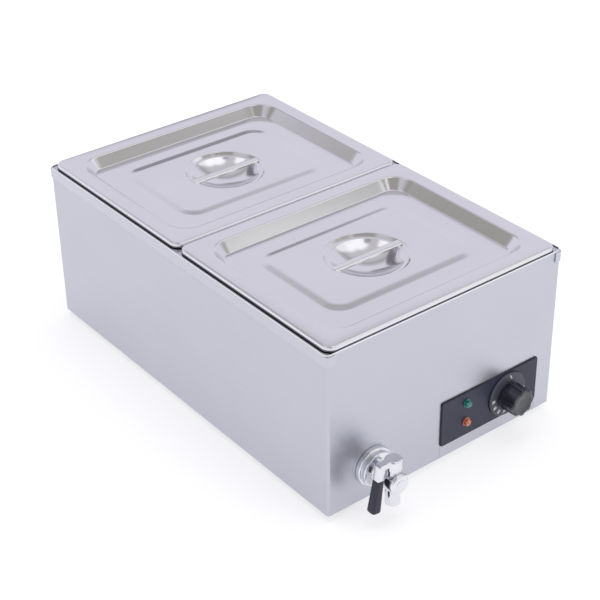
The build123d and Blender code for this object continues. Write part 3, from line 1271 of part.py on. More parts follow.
# Tap stem: from the ball's slot up through the gland nut into the lever's hub
STEM_FOOT = BALL_RADIUS + FIT_GAP
TANG_FOOT = BALL_RADIUS - STEM_TANG_DEPTH + THREAD_GAP
with BuildPart() as tap_stem:
    with BuildSketch(stem(STEM_FOOT)):
        Circle(STEM_RADIUS)
    extrude(amount=STEM_TOP - STEM_FOOT)
    with BuildSketch(stem(STEM_FOOT)):
        Rectangle(STEM_RADIUS * 1.6, STEM_TANG)
    extrude(amount=TANG_FOOT - STEM_FOOT)
tap_stem.part.label = "tap_stem"
export_step(tap_stem.part, "parts/tap_stem.step")


# Tap lever: a round hub, a flat arm out to -X and a leaning leg that ends in a tang for the grip
LEAN = radians(LEG_LEAN)
HALF_LEG = LEG_SIZE / 2
LEG_INNER_TOP = ARM_REACH - HALF_LEG / cos(LEAN)
LEG_OUTER_TOP = ARM_REACH + HALF_LEG / cos(LEAN)
LEG_FOOT_OUT = ARM_REACH + LEG_LENGTH * sin(LEAN)
LEG_FOOT_UP = HUB_TOP - LEG_LENGTH * cos(LEAN)
ARM_OUTLINE = (
    (0, HUB_TOP),
    (LEG_OUTER_TOP, HUB_TOP),
    (LEG_FOOT_OUT + HALF_LEG * cos(LEAN), LEG_FOOT_UP + HALF_LEG * sin(LEAN)),
    (LEG_FOOT_OUT - HALF_LEG * cos(LEAN), LEG_FOOT_UP - HALF_LEG * sin(LEAN)),
    (LEG_INNER_TOP + ARM_END_HEIGHT * tan(LEAN), HUB_TOP - ARM_END_HEIGHT),
    (0, HUB_TOP - ARM_HUB_HEIGHT),
)
SET_SCREW_UP = (HUB_BASE + HUB_TOP) / 2 - ARM_BEND
leg_foot = Plane(
    (TAP_X - LEG_FOOT_OUT, STEM_Y, TAP_Z + LEG_FOOT_UP), x_dir=(0, 1, 0), z_dir=(-sin(LEAN), 0, -cos(LEAN))
)
set_screw_axis = Plane((TAP_X, STEM_Y, TAP_Z + SET_SCREW_UP), x_dir=(1, 0, 0), z_dir=(0, 1, 0))
with BuildPart() as tap_lever:
    with BuildSketch(Plane((TAP_X, STEM_Y, TAP_Z), x_dir=(-1, 0, 0), z_dir=(0, 1, 0))):
        with BuildLine():
            Polyline(*ARM_OUTLINE, close=True)
        make_face()
    extrude(amount=ARM_WIDTH / 2, both=True)
    elbow = tap_lever.edges().filter_by(Axis.Y).group_by(Axis.Z)[-1].sort_by(Axis.X)[0]
    fillet(elbow, ARM_BEND)
    sides = tap_lever.faces().filter_by(Axis.Y)
    fillet(sides.edges(), ARM_EDGE)
    with BuildSketch(Plane((TAP_X, STEM_Y, TAP_Z), x_dir=(-1, 0, 0), z_dir=(0, 1, 0))) as hub_half:
        with Locations((0, HUB_BASE)):
            Rectangle(HUB_RADIUS, HUB_TOP - HUB_BASE, align=(Align.MIN, Align.MIN))
        fillet(hub_half.vertices().group_by(Axis.Y)[-1].sort_by(Axis.X)[-1], HUB_EDGE)
    revolve(axis=Axis((TAP_X, STEM_Y, 0), (0, 0, 1)))
    with BuildSketch(leg_foot):
        Rectangle(TANG_SIZE, TANG_SIZE)
    extrude(amount=TANG_LENGTH)
    with BuildSketch(stem(HUB_BASE)):
        Circle(STEM_RADIUS + THREAD_GAP)
    extrude(amount=STEM_TOP + THREAD_GAP - HUB_BASE, mode=Mode.SUBTRACT)
    with BuildSketch(set_screw_axis):
        Circle(SET_SCREW_RADIUS + THREAD_GAP)
    extrude(amount=HUB_RADIUS, mode=Mode.SUBTRACT)
tap_lever.part.label = "tap_lever"
export_step(tap_lever.part, "parts/tap_lever.step")


# Lever grip: a moulded handle, wider towards its rounded end, pushed over the tang
with BuildPart() as lever_grip:
    with BuildSketch(leg_foot):
        RectangleRounded(GRIP_TOP_SIZE, GRIP_TOP_SIZE, GRIP_CORNER)
    with BuildSketch(leg_foot.offset(LEVER_GRIP_LENGTH)):
        RectangleRounded(GRIP_SOLE_SIZE, GRIP_SOLE_SIZE, GRIP_CORNER)
    loft()
    fillet(lever_grip.faces().sort_by(Axis.Z)[0].edges(), GRIP_SOLE_EDGE)
    with BuildSketch(leg_foot):
        Rectangle(TANG_SIZE + 2 * THREAD_GAP, TANG_SIZE + 2 * THREAD_GAP)
    extrude(amount=TANG_LENGTH + FIT_GAP, mode=Mode.SUBTRACT)
lever_grip.part.label = "lever_grip"
export_step(lever_grip.part, "parts/lever_grip.step")


# Set screw: holds the hub on the stem
with BuildPart() as lever_set_screw:
    with BuildSketch(set_screw_axis.offset(STEM_RADIUS + THREAD_GAP)):
        Circle(SET_SCREW_RADIUS)
    extrude(amount=SET_SCREW_LENGTH)
lever_set_screw.part.label = "lever_set_screw"
export_step(lever_set_screw.part, "parts/lever_set_screw.step")
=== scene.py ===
from math import cos, pi, radians, sin, tan

import bpy
import numpy as np
from mathutils import Matrix, Vector


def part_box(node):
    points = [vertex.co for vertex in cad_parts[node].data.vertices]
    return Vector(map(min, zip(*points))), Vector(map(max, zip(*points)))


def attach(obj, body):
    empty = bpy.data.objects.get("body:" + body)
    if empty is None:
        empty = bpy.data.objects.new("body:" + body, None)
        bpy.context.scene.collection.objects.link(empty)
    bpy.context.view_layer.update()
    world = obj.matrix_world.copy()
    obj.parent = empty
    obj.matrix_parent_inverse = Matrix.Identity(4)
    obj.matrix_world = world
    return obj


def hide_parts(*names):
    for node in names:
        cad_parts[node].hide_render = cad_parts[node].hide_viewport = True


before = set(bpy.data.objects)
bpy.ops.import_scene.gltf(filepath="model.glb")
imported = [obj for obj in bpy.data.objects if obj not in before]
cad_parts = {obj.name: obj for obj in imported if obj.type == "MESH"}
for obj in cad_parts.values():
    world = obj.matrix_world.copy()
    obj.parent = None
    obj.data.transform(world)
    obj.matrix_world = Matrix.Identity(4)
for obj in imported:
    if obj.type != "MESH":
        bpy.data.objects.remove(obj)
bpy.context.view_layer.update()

# Lengths are written in millimetres and turned into metres where a mesh or a light is made
MM = 0.001

# Directions of a piece's own x, y and z (along its axis)
UPWARD = np.eye(3)
FORWARD = np.array([[1.0, 0.0, 0.0], [0.0, 0.0, 1.0], [0.0, -1.0, 0.0]])
DOWNWARD = np.array([[1.0, 0.0, 0.0], [0.0, -1.0, 0.0], [0.0, 0.0, -1.0]])

# Bends between two faces, in degrees, past which the edge between them stays crisp
CRISP_PLAIN = 35
CRISP_ROUNDED = 50
CRISP_PRESSED = 60
CRISP_STRAP = 40
CRISP_FACET = 12

# Points round a turned piece, and the radius of the last ring round its pole
LARGE_ROUND = 128
SMALL_ROUND = 112
POLE_RING = 1.0


def span(node):
    """Lowest and highest corner of a node's box, in millimetres."""
    low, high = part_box(node)
    return np.array(low) / MM, np.array(high) / MM


def middle(node):
    """Middle of a node's box, in millimetres."""
    low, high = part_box(node)
    return np.array((low + high) / 2) / MM


def front_of(node):
    """Middle of the front of a node's box, in millimetres."""
    low, high = span(node)
    return np.array(((low[0] + high[0]) / 2, low[1], (low[2] + high[2]) / 2))


def back_of(node):
    """Middle of the back of a node's box, in millimetres."""
    low, high = span(node)
    return np.array(((low[0] + high[0]) / 2, high[1], (low[2] + high[2]) / 2))


# Meshes


def show(name, data):
    """Puts a mesh, a text, a light or a camera into the scene as an object at the origin."""
    shown = bpy.data.objects.new(name, data)
    bpy.context.scene.collection.objects.link(shown)
    return shown


def shade_smooth(mesh, crisp):
    """Shades a mesh smooth, apart from the edges that bend by more than crisp degrees."""
    mesh.polygons.foreach_set("use_smooth", np.ones(len(mesh.polygons), bool))
    mesh.set_sharp_from_angle(angle=radians(crisp))


def make_object(name, points, faces, crisp=CRISP_PLAIN):
    """An object from points in millimetres and faces."""
    mesh = bpy.data.meshes.new(name)
    mesh.from_pydata((np.asarray(points) * MM).tolist(), [], [list(map(int, face)) for face in faces])
    shade_smooth(mesh, crisp)
    return show(name, mesh)


def as_mesh(shown):
    """The mesh of an object with its modifiers and its text worked out."""
    bpy.context.view_layer.update()
    return bpy.data.meshes.new_from_object(shown.evaluated_get(bpy.context.evaluated_depsgraph_get()))


def loops_to_faces(loops, first=None, last=None, ring=False):
    """Points and faces of a skin: each row of points is a closed loop, and row i joins row i + 1 by quads.

    A pole point before the first or after the last loop closes that end with a fan, and a ring joins
    the last row back to the first.
    """
    rows, count, _ = loops.shape
    points = loops.reshape(-1, 3)
    here = np.arange(rows * count).reshape(rows, count)
    beside = np.roll(here, -1, axis=1)
    lower = here if ring else here[:-1]
    lower_beside = beside if ring else beside[:-1]
    upper = np.roll(here, -1, axis=0)[: len(lower)]
    upper_beside = np.roll(beside, -1, axis=0)[: len(lower)]
    faces = np.stack((lower, lower_beside, upper_beside, upper), axis=-1).reshape(-1, 4).tolist()
    if first is not None:
        pole = np.full(count, len(points))
        points = np.vstack((points, first))
        faces += np.stack((pole, beside[0], here[0]), axis=-1).tolist()
    if last is not None:
        pole = np.full(count, len(points))
        points = np.vstack((points, last))
        faces += np.stack((pole, here[-1], beside[-1]), axis=-1).tolist()
    return points, faces


def capped_faces(loops):
    """Points and faces of a skin whose two ends are closed by fans about their middles."""
    return loops_to_faces(loops, loops[0].mean(axis=0), loops[-1].mean(axis=0))


def rounded_path(corners, bends, steps=7):
    """A line through the corners, each inner corner replaced by an arc of its bend radius.

    The arc starts and ends bend / tan(half the angle) from the corner and turns about a centre on
    the corner's bisector.
    """
    corners = np.asarray(corners, float)
    path = [corners[:1]]
    for before, corner, after, bend in zip(corners[:-2], corners[1:-1], corners[2:], bends):
        to_before = (before - corner) / np.linalg.norm(before - corner)
        to_after = (after - corner) / np.linalg.norm(after - corner)
        half = np.arccos(np.clip(to_before @ to_after, -1, 1)) / 2
        bisector = (to_before + to_after) / np.linalg.norm(to_before + to_after)
        centre = corner + bisector * bend / np.sin(half)
        start = corner + to_before * bend / np.tan(half) - centre
        end = corner + to_after * bend / np.tan(half) - centre
        swing = pi - 2 * half
        share = np.linspace(0, 1, steps)[:, None]
        arc = (np.sin((1 - share) * swing) * start + np.sin(share * swing) * end) / np.sin(swing)
        path.append(centre + arc)
    path.append(corners[-1:])
    return np.concatenate(path)


def rounded_loops(half_x, half_y, corner, per_corner=10, per_side=14):
    """Rounded rectangles, one per row: quarter circles about (half - corner), joined by straight sides."""
    half_x, half_y, corner = np.broadcast_arrays(*np.atleast_1d(half_x, half_y, corner))
    half_x, half_y, corner = (value[:, None, None] for value in (half_x, half_y, corner))
    turn = np.radians((0, 90, 180, 270))[None, :, None] + np.linspace(0, pi / 2, per_corner)
    sign_x = np.array((1, -1, -1, 1))[None, :, None]
    sign_y = np.array((1, 1, -1, -1))[None, :, None]
    arcs = np.stack(
        (
            sign_x * (half_x - corner) + corner * np.cos(turn),
            sign_y * (half_y - corner) + corner * np.sin(turn),
        ),
        axis=-1,
    )
    side_start = arcs[:, :, -1:]
    side_end = np.roll(arcs[:, :, :1], -1, axis=1)
    share = np.linspace(0, 1, per_side + 2)[1:-1][None, None, :, None]
    sides = side_start + share * (side_end - side_start)
    return np.concatenate((arcs, sides), axis=2).reshape(len(half_x), -1, 2)


def round_loops(radius, angle):
    """Loops about z, one per row of radii: x = radius cos(angle), y = radius sin(angle)."""
    return radius[:, :, None] * np.stack((np.cos(angle), np.sin(angle)), axis=-1)[None]


def at_heights(flat_loops, heights):
    """Flat loops, one per row, lifted to the height of their row."""
    lift = np.broadcast_to(np.asarray(heights)[:, None, None], flat_loops.shape[:2] + (1,))
    return np.concatenate((flat_loops, lift), axis=2)


def turned_loops(profile, count):
    """A profile of (radius, height) turned about z: one circle per point."""
    angle = np.linspace(0, 2 * pi, count, endpoint=False)
    radius, height = np.asarray(profile).T
    return at_heights(round_loops(radius[:, None], angle), height)


def turned(name, profile, origin, axes, count, crisp=CRISP_PLAIN):
    """A solid of revolution: poles on the axis, at the heights of the profile's ends, close it."""
    loops = turned_loops(profile, count) @ axes + origin
    first = np.array((0, 0, profile[0, 1])) @ axes + origin
    last = np.array((0, 0, profile[-1, 1])) @ axes + origin
    return make_object(name, *loops_to_faces(loops, first, last), crisp)


def turned_ring(name, profile, origin, axes, count, crisp=CRISP_PLAIN):
    """A ring of revolution: the profile is a closed outline that stays clear of the axis."""
    loops = turned_loops(profile, count) @ axes + origin
    return make_object(name, *loops_to_faces(loops, ring=True), crisp)


def fuse(name, pieces):
    """One solid from several closed ones: everything that is inside any of them."""
    base = pieces[0]
    for other in pieces[1:]:
        union = base.modifiers.new(other.name, "BOOLEAN")
        union.operation = "UNION"
        union.solver = "EXACT"
        union.object = other
    mesh = as_mesh(base)
    mesh.name = name
    shade_smooth(mesh, CRISP_PLAIN)
    for piece in pieces:
        bpy.data.objects.remove(piece)
    return show(name, mesh)


def shade_rows(piece, shade, count):
    """Writes the attribute of painted gap shadow: one value for each row of count points, none for what
    follows.
    """
    values = np.zeros(len(piece.data.vertices))
    values[: len(shade) * count] = np.repeat(shade, count)
    attribute = piece.data.attributes.new("painted_gap_shadow", "FLOAT", "POINT")
    attribute.data.foreach_set("value", values)


def sheet_thickness(piece, thickness):
    """Gives an open skin its sheet thickness, inwards from the modelled side."""
    solid = piece.modifiers.new("sheet", "SOLIDIFY")
    solid.thickness = thickness * MM
    solid.offset = -1
    solid.use_even_offset = True


def dress(piece, finish, body, slot, *nodes):
    """Gives a piece its finish and its body, and hides the CAD nodes that it stands for. The slot is not
    used.
    """
    piece.data.materials.clear()
    piece.data.materials.append(finish)
    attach(piece, body)
    if nodes:
        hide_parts(*nodes)


# Finishes

# Stretches of a pattern's values over which a finish changes
WHOLE_RANGE = (0.0, 1.0)
WIDE_RANGE = (0.25, 0.75)
MIDDLE_RANGE = (0.3, 0.7)
UPPER_RANGE = (0.35, 0.75)
CELL_RANGE = (0.1, 0.6)

# Places of the two colours and of the result among a Mix node's sockets
MIX_FIRST = 6
MIX_SECOND = 7
MIX_RESULT = 2


def times(color, factor, lift=0.0):
    """A colour times a factor, plus an even lift."""
    return tuple(min(1.0, factor * part + lift) for part in color)


class Finish:
    """A node material: a Principled shader and a few short ways to feed it."""

    def __init__(self, name, color, roughness, metallic=0.0, **constants):
        self.material = bpy.data.materials.new(name)
        self.material.use_nodes = True
        self.tree = self.material.node_tree
        self.shader = self.tree.nodes["Principled BSDF"]
        self.set("Base Color", (*color, 1.0))
        self.set("Roughness", roughness)
        self.set("Metallic", metallic)
        for socket, value in constants.items():
            self.set(socket.replace("_", " "), value)
        self.place = self.tree.nodes.new("ShaderNodeTexCoord").outputs["Object"]

    def set(self, socket, value):
        """Sets a constant on the shader's own socket."""
        self.shader.inputs[socket].default_value = value

    def feed(self, socket, source):
        """Links a node's output to the shader."""
        self.tree.links.new(source, self.shader.inputs[socket])

    def node(self, kind, inputs=(), **settings):
        """A node with its settings and inputs; an input is a value or another node's output."""
        made = self.tree.nodes.new(kind)
        for key, value in settings.items():
            setattr(made, key, value)
        for key, value in dict(inputs).items():
            if isinstance(value, bpy.types.NodeSocket):
                self.tree.links.new(value, made.inputs[key])
            else:
                made.inputs[key].default_value = value
        return made

    def math(self, operation, *values):
        """The result of one sum on values or other nodes' outputs."""
        return self.node("ShaderNodeMath", enumerate(values), operation=operation).outputs[0]

    def noise(self, scale, detail=3.0, stretch=(1, 1, 1)):
        """Noise from 0 to 1 on object coordinates, drawn out along the axes with a small stretch."""
        spot = self.node("ShaderNodeMapping", {"Vector": self.place, "Scale": stretch}).outputs["Vector"]
        inputs = {"Vector": spot, "Scale": scale, "Detail": detail}
        return self.node("ShaderNodeTexNoise", inputs).outputs["Fac"]

    def cells(self, scale):
        """A pattern of crystal cells on object coordinates."""
        return self.node("ShaderNodeTexVoronoi", {"Vector": self.place, "Scale": scale})

    def between(self, factor, ends, over=WHOLE_RANGE):
        """A value that runs from one end to the other while the factor runs over its range."""
        start, stop = over
        low, high = ends
        inputs = {"Value": factor, "From Min": start, "From Max": stop, "To Min": low, "To Max": high}
        return self.node("ShaderNodeMapRange", inputs).outputs["Result"]

    def blend(self, factor, first, second):
        """A colour between two others."""
        mix = self.node("ShaderNodeMix", {"Factor": factor}, data_type="RGBA")
        for socket, color in ((mix.inputs[MIX_FIRST], first), (mix.inputs[MIX_SECOND], second)):
            if isinstance(color, bpy.types.NodeSocket):
                self.tree.links.new(color, socket)
            else:
                socket.default_value = (*color, 1.0)
        return mix.outputs[MIX_RESULT]

    def bump(self, height, strength, distance):
        """Raises the surface by a height from 0 to 1 times a distance in millimetres."""
        inputs = {"Height": height, "Strength": strength, "Distance": distance * MM}
        self.feed("Normal", self.node("ShaderNodeBump", inputs).outputs["Normal"])


def brushed_steel(name, color, roughness, stretch, contrast=0.02, edge_color=None):
    """Satin sheet: fine streaks in shade, gloss and height along one direction, and slow clouds in shade.

    With an edge colour, the piece's attribute of painted gap shadow paints the shadow of the gap under a rim
    onto its lowest rows in that colour.
    """
    steel = Finish(name, color, roughness, metallic=1.0)
    streaks = steel.noise(scale=1.0, detail=4.0, stretch=stretch)
    clouds = steel.noise(scale=9.0, detail=2.0)
    shade = steel.blend(clouds, times(color, 0.97), times(color, 1.03))
    grain = steel.between(streaks, (1 - contrast, 1 + contrast), WIDE_RANGE)
    toned = steel.node("ShaderNodeVectorMath", {0: shade, 1: grain}, operation="MULTIPLY").outputs["Vector"]
    # Painted shadow: the dark gap under a lid's rim, painted near-black on the lowest rows of the rim and of
    # the pan's turned edge
    if edge_color:
        edge = steel.node("ShaderNodeAttribute", attribute_name="painted_gap_shadow").outputs["Fac"]
        toned = steel.blend(edge, toned, edge_color)
    steel.feed("Base Color", toned)
    gloss = steel.between(streaks, (roughness - contrast, roughness + contrast), WIDE_RANGE)
    steel.feed("Roughness", gloss)
    steel.bump(streaks, strength=contrast, distance=0.1)
    return steel.material


def plated(name, color, roughness, wear=0.04):
    """Bright plate over a cast or turned piece: faint clouds in shade and gloss, and a slight ripple."""
    plate = Finish(name, color, roughness, metallic=1.0)
    clouds = plate.noise(scale=120.0)
    plate.feed("Roughness", plate.between(clouds, (roughness, roughness + wear), UPPER_RANGE))
    plate.feed("Base Color", plate.blend(clouds, times(color, 0.93), color))
    plate.bump(plate.noise(scale=260.0, detail=2.0), strength=0.02, distance=0.2)
    return plate.material


def moulded(name, color, roughness, grain=900.0, pale=1.25, **constants):
    """Moulded plastic or rubber: a fine grain in gloss and height, and slow pale clouds in shade."""
    plastic = Finish(name, color, roughness, **constants)
    fine = plastic.noise(scale=grain)
    slow = plastic.noise(scale=40.0, detail=2.0)
    plastic.feed("Base Color", plastic.blend(slow, color, times(color, pale, lift=0.004)))
    plastic.feed("Roughness", plastic.between(fine, (roughness - 0.05, roughness + 0.08), MIDDLE_RANGE))
    plastic.bump(fine, strength=0.12, distance=0.2)
    return plastic.material


def galvanised(name, color, roughness):
    """Zinc-dipped sheet: crystal cells of slightly different shade and gloss."""
    zinc = Finish(name, color, roughness, metallic=1.0)
    color_of_cell = zinc.cells(scale=70.0).outputs["Color"]
    tone = zinc.node("ShaderNodeSeparateColor", {"Color": color_of_cell}).outputs["Red"]
    zinc.feed("Base Color", zinc.blend(tone, times(color, 0.82), color))
    zinc.feed("Roughness", zinc.between(tone, (roughness - 0.09, roughness + 0.10)))
    return zinc.material


def tinted_lens(name, color, prism_shade_tint):
    """Coated tinted plastic with a fine pattern of cells: painted shade of moulded prisms, deeper in colour
    between their middles.
    """
    lens = Finish(name, color, roughness=0.12, Coat_Weight=0.6, Coat_Roughness=0.05, IOR=1.49)
    from_middle = lens.cells(scale=420.0).outputs["Distance"]
    # Painted shade of the prisms: the colour deepens away from the cells' middles
    depth = lens.between(from_middle, WHOLE_RANGE, CELL_RANGE)
    lens.feed("Base Color", lens.blend(depth, color, prism_shade_tint))
    lens.bump(from_middle, strength=0.35, distance=0.6)
    return lens.material


def fascia_film(name, node, color, edge_color, border):
    """Printed film on the control plate: an even field, and a darker line round the edge.

    The distance to the nearest edge in x and z decides between field and line.
    """
    film = Finish(name, color, roughness=0.42, Specular_IOR_Level=0.35)
    low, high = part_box(node)
    axes = film.node("ShaderNodeSeparateXYZ", {"Vector": film.place}).outputs
    from_edge = []
    for axis in (0, 2):
        from_middle = film.math("ABSOLUTE", film.math("SUBTRACT", axes[axis], (low[axis] + high[axis]) / 2))
        from_edge.append(film.math("SUBTRACT", (high[axis] - low[axis]) / 2, from_middle))
    nearest = film.math("MINIMUM", *from_edge)
    field = film.between(nearest, WHOLE_RANGE, (border * MM, 1.5 * border * MM))
    even = film.blend(film.noise(scale=25.0, detail=2.0), color, times(color, 1.12))
    film.feed("Base Color", film.blend(field, edge_color, even))
    film.feed("Roughness", film.between(film.noise(scale=700.0), (0.36, 0.50), MIDDLE_RANGE))
    film.bump(film.noise(scale=1400.0), strength=0.08, distance=0.1)
    return film.material


# Streaks are fine along the axes with large numbers and long along the others
SHELL_STREAKS = (3, 3, 700)
DECK_STREAKS = (420, 6, 6)
PRESSED_STREAKS = (6, 420, 6)
STRAP_STREAKS = (5, 900, 900)
SATIN = (0.555, 0.562, 0.622)
PRESSED = (0.76, 0.755, 0.785)
# Near-black colour of the painted shadow in the gap under the lids' rims
GAP_SHADOW = (0.05, 0.05, 0.0525)

shell_steel = brushed_steel("shell steel", SATIN, 0.36, SHELL_STREAKS)
deck_steel = brushed_steel("deck steel", SATIN, 0.16, DECK_STREAKS, contrast=0.012)
pressed_steel = brushed_steel("pressed steel", PRESSED, 0.13, PRESSED_STREAKS, 0.012, GAP_SHADOW)
pan_steel = brushed_steel("pan steel", PRESSED, 0.20, PRESSED_STREAKS, 0.012, GAP_SHADOW)
strap_steel = brushed_steel("strap steel", (0.80, 0.80, 0.82), 0.20, STRAP_STREAKS, contrast=0.015)
zinc_sheet = galvanised("zinc sheet", (0.62, 0.64, 0.66), 0.45)
zinc_screw = plated("zinc screw", (0.66, 0.67, 0.69), 0.28, wear=0.12)
chrome_plate = plated("chrome plate", (0.80, 0.805, 0.84), 0.13)
raw_brass = plated("turned brass", (0.70, 0.53, 0.25), 0.30, wear=0.15)
drawn_copper = plated("drawn copper", (0.72, 0.40, 0.26), 0.30, wear=0.15)
element_sheath = plated("element sheath", (0.34, 0.34, 0.33), 0.42, wear=0.15)
black_knob = moulded("black knob plastic", (0.012, 0.014, 0.023), 0.20, Specular_IOR_Level=0.9)
black_grip = moulded("black grip plastic", (0.016, 0.014, 0.032), 0.42)
dial_plastic = moulded("dial plastic", (0.052, 0.054, 0.074), 0.38)
gland_plastic = moulded("gland plastic", (0.020, 0.020, 0.022), 0.50)
case_plastic = moulded("thermostat case", (0.10, 0.08, 0.07), 0.55)
pale_plastic = moulded("pale plastic", (0.74, 0.71, 0.66), 0.50)
foot_rubber = moulded("black rubber", (0.014, 0.014, 0.016), 0.70, grain=1400.0)
white_print = moulded("white print", (0.88, 0.88, 0.90), 0.55, pale=1.05)
green_tint = tinted_lens("green lens tint", (0.02, 0.42, 0.30), (0.004, 0.12, 0.10))
orange_tint = tinted_lens("orange lens tint", (0.80, 0.31, 0.15), (0.42, 0.10, 0.04))
plate_film = fascia_film(
    "fascia film", "control_fascia", (0.032, 0.034, 0.060), edge_color=(0.016, 0.016, 0.030), border=1.0
)

node_finishes = {
    shell_steel: ["outer_shell", "control_box"],
    deck_steel: ["water_tank", "divider_bar", "divider_brackets"],
    zinc_sheet: ["base_plate", "bulb_clips", "element_saddles"],
    zinc_screw: ["base_screws", "foot_screws", "thermostat_screws", "lamp_clips", "lever_set_screw"],
    foot_rubber: ["rubber_feet", "tap_gasket", "drain_gasket", "element_gaskets"],
    plate_film: ["control_fascia"],
    case_plastic: ["thermostat_body"],
    pale_plastic: ["lamp_holders", "terminal_block", "tap_seat"],
    gland_plastic: ["cable_gland", "gland_locknut"],
    element_sheath: ["heating_element"],
    drawn_copper: ["sensor_bulb"],
    raw_brass: ["element_bushes", "element_nuts", "drain_flange", "drain_nut", "drain_elbow", "tap_backnut",
                "tap_stem", "thermostat_spindle"],
    chrome_plate: ["tap_body", "tap_rosette", "tap_cap", "tap_gland_nut", "tap_ball", "tap_lever"],
    black_knob: ["thermostat_knob"],
    black_grip: ["lever_grip"],
    dial_plastic: ["dial_skirt"],
    green_tint: ["green_lens"],
    orange_tint: ["orange_lens"],
    pressed_steel: ["pan_front", "pan_rear", "lid_front", "lid_rear"],
    strap_steel: ["lid_front_handle", "lid_rear_handle"],
}
for finish, names in node_finishes.items():
    for node_name in names:
        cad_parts[node_name].data.materials.clear()
        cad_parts[node_name].data.materials.append(finish)


# Lids: insets run inwards from the lid's edge, shrinks from the pad's, radii from the dish's axis

LID_SHEET = 1.0
LID_SIDE_POINTS = 40
LID_RIM = 5.6
LID_RIM_FLARE = 1.2
# Height of the rim's lowest band, which carries the painted gap shadow; the rim's step turns at its top
RIM_SHADOW_BAND = 2.0
RIM_STEP = 0.3
LID_FLANGE = 21.0
FLANGE_FLAT = (2.4, 18.5)
TRAY_DEPTH = 12.2
TRAY_DRAFT = radians(42)
TRAY_REACH = 40.0
TRAY_BENDS = (2.0, 2.4, 3.0, 2.0)
LID_CORNER_CENTRE = 12.0
TRAY_CORNER_CENTRE = 49.0
PAD_HALF = (104.0, 73.6)
PAD_CORNER = 24.0
PAD_RISE = 1.2
PAD_SLOPE = 9.5
PAD_FOOT = -5.0
PAD_REACH = 14.0
PAD_BENDS = (30.0, 50.0)
DISH_LEAD = 54.0
DISH_MOUTH = 49.2
DISH_RADIUS = 46.0
DISH_STEP = 3.2
DISH_BENDS = (1.2, 0.5, 1.6)
LEDGE_INNER = 42.0
BOWL_START = 40.0
BOWL_ROW = 2.0
BOWL_DEPTH = 13.5
BOWL_RADIUS = (LEDGE_INNER ** 2 + BOWL_DEPTH ** 2) / (2 * BOWL_DEPTH)


def bowl_depth(radius):
    """Depth of the finger dish below its ledge: a sphere's cap, deepest on its axis."""
    return BOWL_DEPTH - BOWL_RADIUS + np.sqrt(BOWL_RADIUS ** 2 - np.square(radius))


def tray_section(top, floor):
    """Insets and heights over the rim, along the flange and down the tray's leaning wall."""
    tray_foot = LID_FLANGE + TRAY_DEPTH * tan(TRAY_DRAFT)
    rim_corner = (RIM_STEP, top - LID_RIM + RIM_SHADOW_BAND)
    return rounded_path(
        [(0, top - LID_RIM), rim_corner, (LID_RIM_FLARE, top), (LID_FLANGE, top), (tray_foot, floor),
         (TRAY_REACH, floor)],
        TRAY_BENDS,
    ).T


def tray_corner(inset):
    """Radius of the corners at an inset: about the rim's centres outside and the tray's centres inside."""
    knots = np.array((0, *FLANGE_FLAT, TRAY_REACH))
    centres = np.repeat((LID_CORNER_CENTRE, TRAY_CORNER_CENTRE), 2)
    return np.interp(inset, knots, centres - knots)


def dish_section(pad, ledge):
    """Radii and heights from the pad over the dish's step and ledge and down its bowl."""
    bowl_start = (BOWL_START, ledge - bowl_depth(BOWL_START))
    brim = rounded_path(
        [(DISH_LEAD, pad), (DISH_MOUTH, pad), (DISH_RADIUS, ledge), (LEDGE_INNER, ledge), bowl_start],
        DISH_BENDS,
    )
    radius = np.arange(BOWL_START - BOWL_ROW, 0, -BOWL_ROW)
    bowl = np.stack((radius, ledge - bowl_depth(radius)), axis=-1)
    return np.concatenate((brim, bowl)).T


def lid_skin(name, node):
    """Upper skin of a pressed lid, from its rim inwards.

    Rounded rectangles follow a section over the rim, down the tray's leaning wall and over the raised
    pad. Circles, at the angles of the pad's last loop, then follow the dish's step, ledge and bowl.
    """
    low, high = span(node)
    half_x, half_y = (high - low)[:2] / 2
    top = high[2]
    floor = top - TRAY_DEPTH
    pad = floor + PAD_RISE
    ledge = pad - DISH_STEP
    inset, tray_height = tray_section(top, floor)
    tray = rounded_loops(half_x - inset, half_y - inset, tray_corner(inset), per_side=LID_SIDE_POINTS)
    shrink, pad_height = rounded_path(
        [(PAD_FOOT, floor), (0, floor), (PAD_SLOPE, pad), (PAD_REACH, pad)], PAD_BENDS
    ).T
    pad_x, pad_y = PAD_HALF
    raised = rounded_loops(pad_x - shrink, pad_y - shrink, PAD_CORNER - shrink, per_side=LID_SIDE_POINTS)
    radius, dish_height = dish_section(pad, ledge)
    dish = round_loops(radius[:, None], np.arctan2(raised[-1, :, 1], raised[-1, :, 0]))
    heights = np.concatenate((tray_height, pad_height, dish_height))
    centre = np.array((*middle(node)[:2], 0))
    loops = at_heights(np.concatenate((tray, raised, dish)), heights) + centre
    deepest = centre + (0, 0, ledge - BOWL_DEPTH)
    piece = make_object(name, *loops_to_faces(loops, last=deepest), CRISP_PRESSED)
    # Painted shadow of the gap under the lid: full at the rim's foot, none from the rim's step up
    shade_rows(piece, np.clip(1 - inset / RIM_STEP, 0, 1), loops.shape[1])
    sheet_thickness(piece, LID_SHEET)
    return piece


STRAP_REACH = 45.7
STRAP_HALF = 5.25
STRAP_HEIGHT = 3.0
STRAP_SHEET = 1.2
STRAP_BEND = 1.9
STRAP_INNER_BEND = 0.7
STRAP_ROWS = 25


def channel_side(half, height, bend):
    """One side of a channel section, from its left foot over its top to its right foot."""
    return rounded_path([(-half, 0), (-half, height), (half, height), (half, 0)], [bend, bend])


